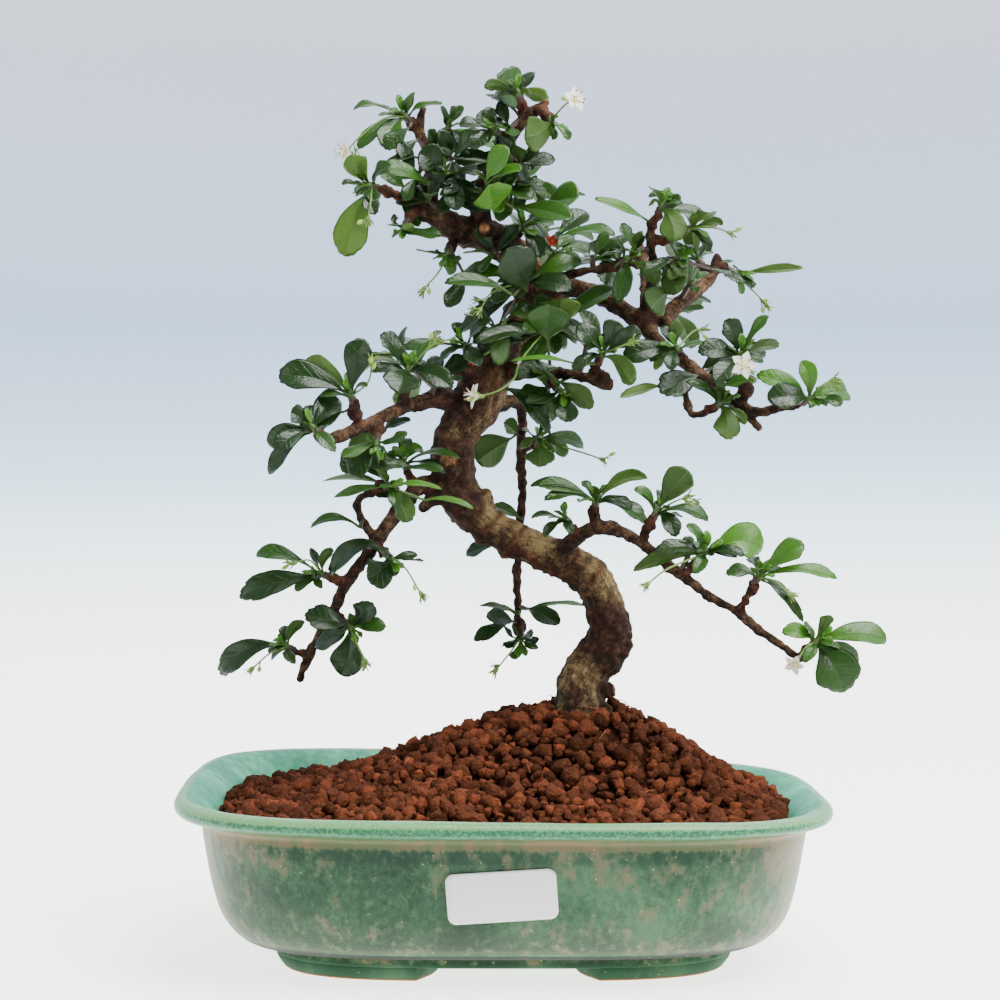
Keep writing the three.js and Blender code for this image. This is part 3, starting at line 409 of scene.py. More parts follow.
def stageFinish():
    # White floor, a pale wall that glows a little, and a dim side behind the viewer.
    maker = Maker("stageFinish")
    depth, height = maker.axis(1), maker.axis(2)
    front = 1 - depth.rise(-1.4, -0.75)
    sky = [(place, tuple(shown(*colour) * stage["glow"])) for place, colour in stage["sky"]]
    glow = maker.ramp(height, *sky)
    glow = maker.mix(depth.rise(-0.12, -0.09), (0.0, 0.0, 0.0), glow)
    colour = maker.mix(height.rise(0.0, 0.25), (0.86, 0.85, 0.84), (0.3, 0.3, 0.31))
    colour = maker.mix(front, colour, (0.08, 0.08, 0.09))
    return maker.finish(Base_Color=colour, Roughness=0.9, Emission_Color=glow,
                        Emission_Strength=1.0 / stage["glowScale"], Specular_IOR_Level=0.2)


def makeStage():
    # A bowl turned round the upright axis: a flat floor, a quarter circle, then a wall.
    floor = np.array([0.02, 0.25, 0.6, 1.0, stage["floor"]])
    turn = np.linspace(0, np.pi / 2, 14)[1:]
    wallRadius = stage["floor"] + stage["bend"]
    radius = np.concatenate([floor, stage["floor"] + stage["bend"] * np.sin(turn), [wallRadius]])
    height = np.concatenate([floor * 0, stage["bend"] * (1 - np.cos(turn)), [stage["wall"]]])
    angle = fullTurn(stage["columns"])
    rings = turned(radius[:, None], angle, height[:, None])
    points = np.concatenate([rings.reshape(-1, 3), [(0, 0, 0)]])
    ring = np.arange(len(angle))
    centre = np.stack([np.full(len(angle), len(points) - 1), ring, np.roll(ring, -1),
                       np.full(len(angle), -1)], axis=1)
    faces = np.concatenate([roundFaces(len(radius), len(angle))[:, ::-1], centre])
    points[:, 2] -= stage["sunk"]
    data = meshOf("stage", points, faces, np.zeros(len(faces)), {})
    bowl = linked("stage", data)
    data.materials.append(stageFinish())


lights = {
    "above": {"at": (0.5, -0.4, 1.5), "size": 1.0, "power": 48},
    "frontLeft": {"at": (-1.0, -1.2, 0.7), "size": 0.7, "power": 6},
    "frontRight": {"at": (1.2, -0.95, 0.95), "size": 0.6, "power": 14},
    "back": {"at": (0.2, 1.3, 1.3), "size": 1.2, "power": 10},
}


def makeLights():
    for name, light in lights.items():
        data = bpy.data.lights.new(name, "AREA")
        data.shape = "SQUARE"
        data.size = light["size"]
        data.energy = light["power"]
        lamp = linked(name, data)
        lamp.location = light["at"]
        aim = Vector((0, 0, 0.15)) - lamp.location
        lamp.rotation_euler = aim.to_track_quat("-Z", "Y").to_euler()
    world = bpy.data.worlds.new("world")
    world.use_nodes = True
    sky = world.node_tree.nodes["Background"]
    sky.inputs["Color"].default_value = (0.86, 0.92, 1.0, 1.0)
    sky.inputs["Strength"].default_value = 0.5
    bpy.context.scene.world = world


makeCamera()
makeStage()
makeLights()
print("camera, stage and lights made")

# The pot: half length and height of each ring, from under the base, over the lip, to the floor.
pot = {
    "halfLength": 120.0, "halfDepth": 97.0, "height": 61.0, "power": 3.8, "warp": 0.021, "twist": 0.013,
    "columns": 288, "sheen": 0.055,
    "drains": {"radius": 8.0, "places": (-38.0, 38.0), "sides": 48, "low": 0.0, "high": 20.0},
    "rings": [[30, 4.6], [60, 4.6], [83, 4.6], [85.2, 5.2], [85.2, 8.2], [87.2, 9.0], [90.6, 9.3],
              [94.4, 10.3], [98, 12.3], [101.8, 16.4], [104.2, 20.6], [106, 26], [108.2, 36],
              [109.9, 46], [110.6, 50.6], [110.7, 52.8], [111.6, 54.3], [114.2, 55.1], [117.6, 55.9],
              [119.7, 57.2], [120.2, 58.8], [119.7, 60.4], [118, 61.5], [115.8, 61.7],
              [113.6, 61], [111.2, 59.6], [108.8, 57.7], [106.6, 55.5], [104.6, 52.8], [102.6, 48],
              [100.5, 40], [98, 32], [95.5, 24], [93.2, 19.5], [90, 16], [85, 13.6], [78, 13], [50, 13],
              [25, 13]],
    "feet": {"outside": 84.4, "inside": 68.0, "top": 6.2, "slant": 2.4, "bevel": (2.4, 3.4),
             "gapLeft": 30.0, "gapRight": 33.0, "gapSide": 25.0, "steps": 61},
    # the inner face is what lies within this half length at each height
    "innerFrom": [[9, 120], [13, 88.5], [16, 94.2], [24, 99], [40, 104], [55, 108.8], [59, 112.5],
                  [61, 115.6], [61.6, 116.2]],
    "bulges": [(30, 3, 0.3), (11, 4, 0.12)],
}
planAngles = fullTurn(pot["columns"])


def planRadius(angle, half):
    # A rounded oblong: (|cos/half|^p + |sin/depth|^p)^(-1/p).
    depth = half - pot["halfLength"] + pot["halfDepth"]
    power = pot["power"]
    return (np.abs(np.cos(angle) / half) ** power + np.abs(np.sin(angle) / depth) ** power) ** (-1 / power)


def warpSlope(points):
    return pot["warp"] + pot["twist"] * points[..., 1] / pot["halfDepth"]


def warped(points):
    # The kiln's warp: each point sinks by its slope times x, in full at the lip.
    share = np.clip(points[..., 2] / pot["height"], None, 1)
    sunk = points.copy()
    sunk[..., 2] -= warpSlope(points) * points[..., 0] * share
    return sunk


def planRings(halves, heights, angles):
    halves, heights = np.asarray(halves, float)[:, None], np.asarray(heights, float)[:, None]
    return turned(planRadius(angles[None, :], halves), angles, heights)


def cutCorners(rows, times):
    # Chaikin: each span keeps its points at a quarter and at three quarters.
    rows = np.asarray(rows, float)
    for _ in range(times):
        near = rows[:-1] * 0.75 + rows[1:] * 0.25
        far = rows[:-1] * 0.25 + rows[1:] * 0.75
        cut = np.stack([near, far], axis=1).reshape(-1, rows.shape[1])
        rows = np.concatenate([rows[:1], cut, rows[-1:]])
    return rows


def feetMesh():
    # Four feet: a rounded bar along the plan's ring, its ends slanting in towards the base.
    shell = Shell()
    feet = pot["feet"]
    outside, inside, top = feet["outside"], feet["inside"], feet["top"]
    section = [[outside - feet["bevel"][0], 0], [outside, feet["bevel"][1]], [outside, top], [inside, top],
               [inside, 0]]
    section = cutCorners(section + section[:1], 3)[:-1]
    angle = np.linspace(0, 2 * np.pi, 1441)
    ring = planRings([outside], [0], angle)[0]
    for signX, signY in ((1, 1), (-1, 1), (-1, -1), (1, -1)):
        gap = feet["gapRight"] if signX > 0 else feet["gapLeft"]
        ends = angle[(ring[:, 0] * signX > gap) & (ring[:, 1] * signY > feet["gapSide"])][[0, -1]]
        slant = feet["slant"] / outside * (1 - section[None, :, 1] / top)
        run = np.linspace(0, 1, feet["steps"])[:, None]
        first, last = ends[0] + slant, ends[1] - slant
        turn = first + (last - first) * run
        radius = planRadius(turn, np.broadcast_to(section[None, :, 0], turn.shape))
        rings = turned(radius, turn, section[None, :, 1])
        shell.add(*closedGrid(rings, rings[0].mean(axis=0), rings[-1].mean(axis=0)))
    return shell.mesh("feet")


def fired(red, green, blue):
    # A glaze colour as the picture shows it, less the light that the gloss adds.
    return tint(red, green, blue, pot["sheen"], 0.008)


def glazeFinish():
    maker = Maker("glazeFinish")
    level, inner = maker.value("level"), maker.value("inner")
    side = abs(maker.axis(0) - middleX).rise(0.078, 0.106)
    cloud = maker.noise(34, 4, 0.55, at=maker.stretched(1.0, 1.0, 0.6), twist=0.4)
    bloom = maker.noise(5.2, 3, 0.5, at=maker.stretched(1.0, 1.0, 0.62))
    tuft = maker.noise(2.3, 4, 0.6, at=maker.stretched(1.0, 1.0, 0.7))
    fine = maker.noise(1.1, 3, 0.6)
    streak = maker.noise(3.4, 2, 0.5, at=maker.stretched(1.0, 1.0, 0.1))
    # the body: mottled green, turquoise where the glaze lies thick
    green = maker.ramp((cloud * 0.62 + tuft * 0.25 + fine * 0.16).held(), (0.4, fired(66, 100, 76)),
                       (0.5, fired(92, 130, 100)), (0.62, fired(122, 162, 130)))
    # the body turns olive and darker towards its foot: partly the glaze's own olive, partly painted shade
    # where the belly curves under
    green = maker.mix((1 - level.rise(13, 30)) * 0.6, green, fired(64, 82, 58))
    # soft beige blooms, thick under the lip, at the ends and low down
    hem = level.rise(33, 44) * (1 - level.rise(50, 51.5))
    low = 1 - level.rise(10, 26)
    dense = hem * 0.05 + side * 0.09 + low * 0.05 + (cloud - 0.5) * 0.25
    cover = (bloom * 0.62 + tuft * 0.38 + dense + (fine - 0.5) * 0.08).rise(0.5, 0.7)
    runs = (streak + (tuft - 0.5) * 0.3).rise(0.5, 0.62) * side * level.rise(12, 24)
    pale = (cloud * 0.5 + bloom * 0.5 + side * 0.12).rise(0.46, 0.6)
    pale = maker.mix(pale, fired(128, 158, 124), fired(164, 154, 128))
    body = maker.mix((cover * 0.72).most(runs * 0.6), green, pale)
    # the darkest green lies in a broken row right under the cove
    row = level.rise(44.8, 47.4) * (1 - level.rise(50.2, 51.2)) * (1 - cover) * (1 - side)
    body = maker.mix(row * 0.7, body, fired(62, 102, 80))
    band = level.rise(40, 43) * side * (bloom * 0.5 + cloud * 0.5).rise(0.4, 0.52)
    body = maker.mix(band * 0.7, body, fired(170, 156, 132))
    cream = (cloud * 0.4 + bloom * 0.6 + side * 0.1).rise(0.46, 0.58)
    cream = maker.mix(cream, fired(146, 156, 116), fired(170, 156, 124))
    body = maker.mix((level + (tuft - 0.5) * 4).rise(50.2, 51.6) * 0.9, body, cream)
    lip = maker.mix(fine.rise(0.42, 0.62), fired(86, 156, 122), fired(126, 186, 150))
    body = maker.mix((level + (tuft - 0.5) * 2.2).rise(55.3, 56.5), body, lip)
    # the glaze runs thin and cream along the lip's shoulder, and a painted highlight lies on the same crest;
    # the inside is turquoise
    crest = (level + (fine - 0.5) * 1.4).rise(58.9, 59.9) * (1 - inner)
    thinGlazeAndHighlight = maker.mix(tuft.rise(0.34, 0.74), fired(196, 212, 178), fired(150, 196, 162))
    body = maker.mix(crest * (tuft.rise(0.4, 0.6) * 0.3 + 0.35), body, thinGlazeAndHighlight)
    pool = maker.ramp((cloud * 0.6 + streak * 0.3 + fine * 0.1).held(), (0.38, fired(96, 180, 156)),
                      (0.5, fired(124, 196, 174)), (0.62, fired(160, 212, 194)))
    body = maker.mix(inner, body, pool)
    # a thin pale line, a dark olive groove, which is painted shade in the recess under the belly, and a green
    # foot
    bead = level.rise(12.4, 13.2) * (1 - level.rise(13.8, 14.8))
    body = maker.mix(bead * 0.35, body, fired(140, 142, 108))
    grooveShade = (1 - level.rise(11.6, 13.2)) * level.rise(6.6, 9.6)
    body = maker.mix(grooveShade * (fine.rise(0.3, 0.55) * 0.28 + 0.68), body, fired(66, 62, 42))
    foot = maker.mix(cloud.rise(0.4, 0.6), fired(70, 108, 84), fired(98, 136, 110))
    body = maker.mix((1 - level.rise(6.0, 6.8)) * 0.9, body, foot)
    # bare clay shows at the foot's edge and under the base
    bare = (1 - level.rise(0.2, 0.9) + (fine - 0.5) * 0.5).rise(0.45, 0.75)
    body = maker.mix(bare, body, fired(186, 136, 96))
    specks = (1 - maker.cells(2.7).rise(0.05, 0.13)) * (tuft * 0.5 + cover * 0.3).rise(0.2, 0.5)
    body = maker.mix(specks * 0.75, body, fired(212, 212, 186))
    rust = (1 - maker.cells(3.1).rise(0.06, 0.2)) * level.rise(51, 53) * (1 - inner) * bloom.rise(0.5, 0.58)
    body = maker.mix(rust * 0.6, body, fired(160, 112, 78))
    under = 1 - level.rise(9.5, 15)
    rough = (tuft * 0.14 + 0.27 + bare * 0.5 + under * 0.45 + side * 0.12 + inner * 0.22).held()
    gloss = (0.05 + level.rise(51, 56) * 0.11 - under * 0.05 - inner * 0.1).held()
    height = cloud * 0.5 + bloom * 0.25 + fine * 0.07 - specks * 0.1
    return maker.finish(Base_Color=body, Roughness=rough, Coat_Weight=gloss, Coat_Roughness=0.12,
                        Specular_IOR_Level=0.3, Normal=maker.bump(height, 0.8, 0.35))


def bowlMesh():
    rows = cutCorners(pot["rings"], 2)
    rings = warped(planRings(rows[:, 0], rows[:, 1], planAngles))
    shell = Shell()
    shell.add(*closedGrid(rings, (0, 0, rows[0, 1]), (0, 0, rows[-1, 1])))
    drains, drill = pot["drains"], Shell()
    turn = fullTurn(drains["sides"])
    for place in drains["places"]:
        rings = turned(np.full((2, 1), drains["radius"]), turn, np.array([[drains["low"]], [drains["high"]]]))
        drill.add(*closedGrid(rings + (place, 0, 0), (place, 0, drains["low"]), (place, 0, drains["high"])))
    cutter = linked("drill", drill.mesh("drill"))
    cut = appliedMesh(shell.mesh("bowl"), "BOOLEAN", object=cutter, operation="DIFFERENCE")
    bpy.data.objects.remove(cutter)
    return cut


def joined(name, *meshes):
    # Several meshes as one, their points and faces in a row; their named values are set later.
    points, faces, base = [], [], 0
    for data in meshes:
        points.append(vectorsOf(data, "co"))
        sizes = np.zeros(len(data.polygons), np.int32)
        data.polygons.foreach_get("loop_total", sizes)
        corners = np.zeros(len(data.loops), np.int32)
        data.loops.foreach_get("vertex_index", corners)
        faces.append((sizes, corners + base))
        base += len(points[-1])
    sizes, corners = (np.concatenate(rows) for rows in zip(*faces))
    rows = np.full((len(sizes), int(sizes.max())), -1)
    rows[np.arange(rows.shape[1])[None, :] < sizes[:, None]] = corners
    return meshOf(name, np.concatenate(points), rows, np.zeros(len(sizes)), {})


def makePot():
    whole = joined("pot_glazed", bowlMesh(), feetMesh())
    places = vectorsOf(whole, "co") * 1000 - drawnShift
    # the height before the warp, and the half length of the plan's ring through each point
    level = places[:, 2] + warpSlope(places) * places[:, 0] * np.clip(places[:, 2] / pot["height"], 0, 1)
    radius = np.hypot(places[:, 0], places[:, 1])
    sample = 110.0
    half = radius * sample / planRadius(np.arctan2(places[:, 1], places[:, 0]), np.full(len(radius), sample))
    wall = np.interp(level, *np.transpose(pot["innerFrom"]))
    setValue(whole, "level", level)
    setValue(whole, "inner", np.clip((wall - half) / 0.8, 0, 1) * (level > 12))
    bulge = sum(noiseAt(places, size, seed) * depth for size, seed, depth in pot["bulges"])
    bulge *= np.clip((level - 8) / 8, 0, 1)
    places = places + vectorsOf(whole, "normal") * bulge[:, None]
    setPlaces(whole, (places + drawnShift) / 1000)
    whole.update()
    putPiece("pot_glazed", whole, [glazeFinish()], "pot")


makePot()
print("pot made")


def screenFinish():
    # Plastic net: grey bars where x and y lie near the edge of their cell; the holes between them are near
    # black, painted shade.
    maker = Maker("screenFinish")
    wave = maker.stretched(700, 700, 700)
    x, y = (abs(maker.axis(number, wave).part() - 0.5).rise(0.32, 0.42) for number in (0, 1))
    bar = x.most(y)
    colour = maker.mix(bar, tint(8, 9, 10), tint(44, 48, 50))
    return maker.finish(Base_Color=colour, Roughness=0.6, Normal=maker.bump(bar, 0.5))


# The drain screens: the net lies on the frame's own squares.
netFinish = screenFinish()
for side in ("left", "right"):
    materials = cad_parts["drain_screen_" + side].data.materials
    materials.clear()
    materials.append(netFinish)

# The label: blank paper with round corners on the front wall.
label = {"length": 38.0, "height": 18.0, "corner": 3.0, "middle": (-0.6, 35.0), "turn": 0.07,
         "back": 0.3, "front": 0.75, "rings": 9, "cornerSteps": 16, "curl": 0.35,
         "wall": [[20.6, 104.2], [26, 106], [36, 108.2], [46, 109.9]]}


def onFrontWall(along, up, out):
    # A point of the label's own plane, turned, then laid on the plan's curve at its height.
    turn = label["turn"]
    x = label["middle"][0] + along * math.cos(turn) - up * math.sin(turn)
    z = label["middle"][1] + along * math.sin(turn) + up * math.cos(turn)
    half = np.interp(z, *np.transpose(label["wall"]))
    depth = half - pot["halfLength"] + pot["halfDepth"] + out
    y = -depth * (1 - np.abs(x / (half + out)) ** pot["power"]) ** (1 / pot["power"])
    return warped(np.stack([x, y, z], axis=-1))


def makeLabel():
    steps, rings = label["cornerSteps"], label["rings"]
    halfLength, halfHeight, corner = label["length"] / 2, label["height"] / 2, label["corner"]
    quarter = np.repeat(np.arange(4), steps)
    signX, signZ = np.array([1, -1, -1, 1])[quarter], np.array([1, 1, -1, -1])[quarter]
    local = np.tile(np.linspace(0, np.pi / 2, steps), 4) + quarter * np.pi / 2
    rimX = signX * (halfLength - corner) + corner * np.cos(local)
    rimZ = signZ * (halfHeight - corner) + corner * np.sin(local)
    share = np.linspace(0.08, 1, rings)
    shares = np.concatenate([share, share[::-1]])[:, None]
    out = np.repeat([label["back"], label["front"]], rings)[:, None]
    # the corners curl off the pot
    far = shares * np.hypot(rimX / halfLength, rimZ / halfHeight)
    lift = label["curl"] * np.clip((far - 1.1) / 0.25, 0, 1) ** 2
    rows = onFrontWall(shares * rimX, shares * rimZ, out + lift)
    shell = Shell()
    shell.add(*closedGrid(rows, onFrontWall(0, 0, label["back"]), onFrontWall(0, 0, label["front"])))
    maker = Maker("labelFinish")
    paper = maker.noise(1.4, 3)
    colour = maker.mix(paper, tint(233, 231, 232), tint(242, 241, 241))
    finish = maker.finish(Base_Color=colour, Roughness=0.42, Normal=maker.bump(paper, 0.04))
    putPiece("label_blank", shell.mesh("label_blank"), [finish], "label")


makeLabel()
print("label made")

# The soil: a heap with grains laid over it.
soil = {
    "edge": 54.0, "reach": 104.0, "rings": 56, "sunk": 4.4, "bedded": 1.5, "rough": 0.5,
    "wall": [[84.2, 13.4], [89, 16.3], [94.6, 24], [99.6, 40], [102.4, 50]],
    "mounds": [{"height": 33, "x": 36, "y": 2, "length": 48, "depth": 50},
               {"height": 14, "x": -24, "y": 6, "length": 44, "depth": 50},
               {"height": 5, "x": 14, "y": 0, "length": 92, "depth": 80}],
    "spacing": 4.3, "lattice": 30, "shaken": 0.38, "grainMiddle": 2.2, "grainLow": 1.1, "grainHigh": 3.8,
    "grainEdge": 105.0, "loose": 560, "looseReach": (104, 82), "looseLift": 1.3, "looseSize": 0.8,
    "stump": (29.0, 0.0, 10.6), "cube": 0.28, "ball": 0.72, "roots": 20,
}


def soilHeight(x, y):
    # Mounds of height times exp(-(distance squared)) on a sloping base.
    height = soil["edge"] - pot["warp"] * x
    for mound in soil["mounds"]:
        far = ((x - mound["x"]) / mound["length"]) ** 2 + ((y - mound["y"]) / mound["depth"]) ** 2
        height = height + mound["height"] * np.exp(-far)
    return height


def grainForm():
    # The surface of a 3 x 3 x 3 grid, pulled a little towards a ball.
    grid = np.stack(np.meshgrid(*[[-1.0, 0.0, 1.0]] * 3, indexing="ij"), axis=-1)
    rows = grid.reshape(-1, 3)
    outer = np.abs(rows).max(axis=1) > 0.5
    lookup = np.full(27, -1)
    lookup[outer] = np.arange(outer.sum())
    index = lookup.reshape(3, 3, 3)
    faces = []
    for axis in range(3):
        for end, flip in ((0, True), (2, False)):
            quads = quadsOf(np.take(index, end, axis=axis), back=True)
            faces.append(quads[:, ::-1] if flip != (axis == 1) else quads)
    points = rows[outer]
    ball = points / np.linalg.norm(points, axis=1, keepdims=True)
    return points * soil["cube"] + ball * soil["ball"], np.concatenate(faces)


def randomTurns(random, count):
    # Turning matrices from even four-part numbers of length one.
    q = unit(random.normal(size=(count, 4)))
    w, x, y, z = q.T
    rows = [1 - 2 * (y * y + z * z), 2 * (x * y - z * w), 2 * (x * z + y * w),
            2 * (x * y + z * w), 1 - 2 * (x * x + z * z), 2 * (y * z - x * w),
            2 * (x * z - y * w), 2 * (y * z + x * w), 1 - 2 * (x * x + y * y)]
    return np.stack(rows, axis=1).reshape(-1, 3, 3)


def soilFinish():
    maker = Maker("soilFinish")
    crumb = maker.noise(2.2, 5, 0.68)
    grit = 1 - maker.cells(1.3, "SMOOTH_F1").rise(0.0, 0.75)
    colour = maker.ramp((maker.value("tone") * 0.62 + crumb * 0.7 - 0.14).held(), (0.08, tint(52, 21, 10)),
                        (0.32, tint(100, 50, 28)), (0.55, tint(136, 76, 46)), (0.8, tint(172, 100, 60)),
                        (0.97, tint(198, 136, 94)))
    colour = maker.mix(maker.value("pale"), colour, tint(196, 160, 128))
    height = crumb * 0.7 + grit * 0.3
    return maker.finish(Base_Color=colour, Roughness=1.0, Specular_IOR_Level=0.08,
                        Normal=maker.bump(height, 1.8, 1.0))


def addHeap(shell):
    # Under the grains: the wall of the filling, then rings shrinking to the middle of the heap.
    sides = warped(planRings(*np.transpose(soil["wall"]), planAngles))
    share = np.linspace(1, 0.012, soil["rings"])[:, None]
    plan = planRings([soil["reach"]], [0], planAngles)[0]
    x, y = plan[None, :, 0] * share, plan[None, :, 1] * share
    spots = np.stack([x, y, np.zeros_like(x)], axis=-1).reshape(-1, 3)
    rough = (noiseAt(spots, 4.5, 11) + 0.5 * noiseAt(spots, 2.0, 12)).reshape(x.shape) * soil["rough"]
    top = np.stack([x, y, soilHeight(x, y) - soil["sunk"] + rough * np.minimum(share * 8, 1)], axis=-1)
    rings = np.concatenate([sides, top])
    low, high = (0, 0, soil["wall"][0][1]), (0, 0, soilHeight(0, 0) - soil["sunk"])
    # tone 0 is the darkest soil colour: painted shade in the gaps between the grains
    shell.add(*closedGrid(rings, low, high), tone=0.0)


def grainSpots(random):
    # Places, sizes and lifts: a shaken hexagonal lattice, then loose grains on top of it.
    step = soil["spacing"]
    across = np.arange(-soil["lattice"], soil["lattice"] + 1)
    gridX, gridY = np.meshgrid(across, across)
    spots = np.stack([((gridX + 0.5 * (gridY % 2)) * step).ravel(), (gridY * step * 0.866).ravel()], axis=1)
    spots = spots + random.uniform(-soil["shaken"], soil["shaken"], spots.shape) * step
    loose = random.uniform(-1, 1, (soil["loose"], 2)) * soil["looseReach"]
    lift = np.concatenate([np.zeros(len(spots)), np.full(len(loose), soil["looseLift"])])
    spots = np.concatenate([spots, loose])
    lift += random.uniform(-0.7, 0.7, len(lift))
    size = np.exp(random.normal(math.log(soil["grainMiddle"]), 0.4, len(spots)))
    size = np.clip(size, soil["grainLow"], soil["grainHigh"])
    size[len(size) - soil["loose"]:] *= soil["looseSize"]
    far = np.hypot(*spots.T)
    edge = planRadius(np.arctan2(spots[:, 1], spots[:, 0]), np.full(len(far), soil["grainEdge"]))
    stumpX, stumpY, stumpRadius = soil["stump"]
    clear = np.hypot(spots[:, 0] - stumpX, spots[:, 1] - stumpY) > stumpRadius + size
    kept = (far < edge - size * 0.8) & clear
    return spots[kept], size[kept], lift[kept]


def addGrains(shell, random):
    # Each grain is the form with its points shaken, stretched, turned and laid on the heap.
    spots, size, lift = grainSpots(random)
    count = len(spots)
    form, faces = grainForm()
    shape = form[None] * (1 + random.uniform(-0.24, 0.2, (count, len(form), 1)))
    shape += random.uniform(-0.12, 0.12, (count, len(form), 3))
    shape *= random.uniform((0.85, 0.72, 0.58), (1.2, 1.0, 0.9), (count, 3))[:, None]
    shape = np.einsum("nij,nkj->nki", randomTurns(random, count), shape) * size[:, None, None]
    centre = np.column_stack([spots, soilHeight(*spots.T) - soil["bedded"] + lift])
    base = np.arange(count)[:, None, None] * len(form)
    tone = np.clip(random.normal(0.47, 0.2, count), 0, 1)
    pale = (random.uniform(0, 1, count) > 0.996) * 0.55
    shell.add(shape + centre[:, None], (faces[None] + base).reshape(-1, 4),
              tone=np.repeat(tone, len(form)), pale=np.repeat(pale, len(form)))
    return count


def addDeadRoots(shell, random):
    # Short curved bits lie on top, most of them about the trunk.
    steps = 9
    run = np.linspace(0, 1, steps)
    for _ in range(soil["roots"]):
        near = random.uniform() < 0.5
        start = random.normal((31, -6), (14, 12)) if near else random.uniform((-85, -60), (90, 60))
        heading = random.uniform(0, 2 * np.pi)
        length = random.uniform(4, 9)
        turn = heading + random.uniform(-1.2, 1.2) * run
        path = start + np.cumsum(np.stack([np.cos(turn), np.sin(turn)], axis=1), axis=0) * length / steps
        rise = soilHeight(*path.T) + 1.7 + random.uniform(0, 0.8) * np.sin(run * np.pi)
        shell.addTube(np.column_stack([path, rise]), random.uniform(0.14, 0.24), 5, tone=0.9,
                      pale=random.uniform(0.2, 0.8))


def makeSoil():
    shell = Shell("tone", "pale")
    random = np.random.default_rng(31)
    addHeap(shell)
    count = addGrains(shell, random)
    addDeadRoots(shell, random)
    putPiece("soil_grains", shell.mesh("soil_grains"), [soilFinish()], "soil")
    return count


print("soil made:", makeSoil(), "grains")

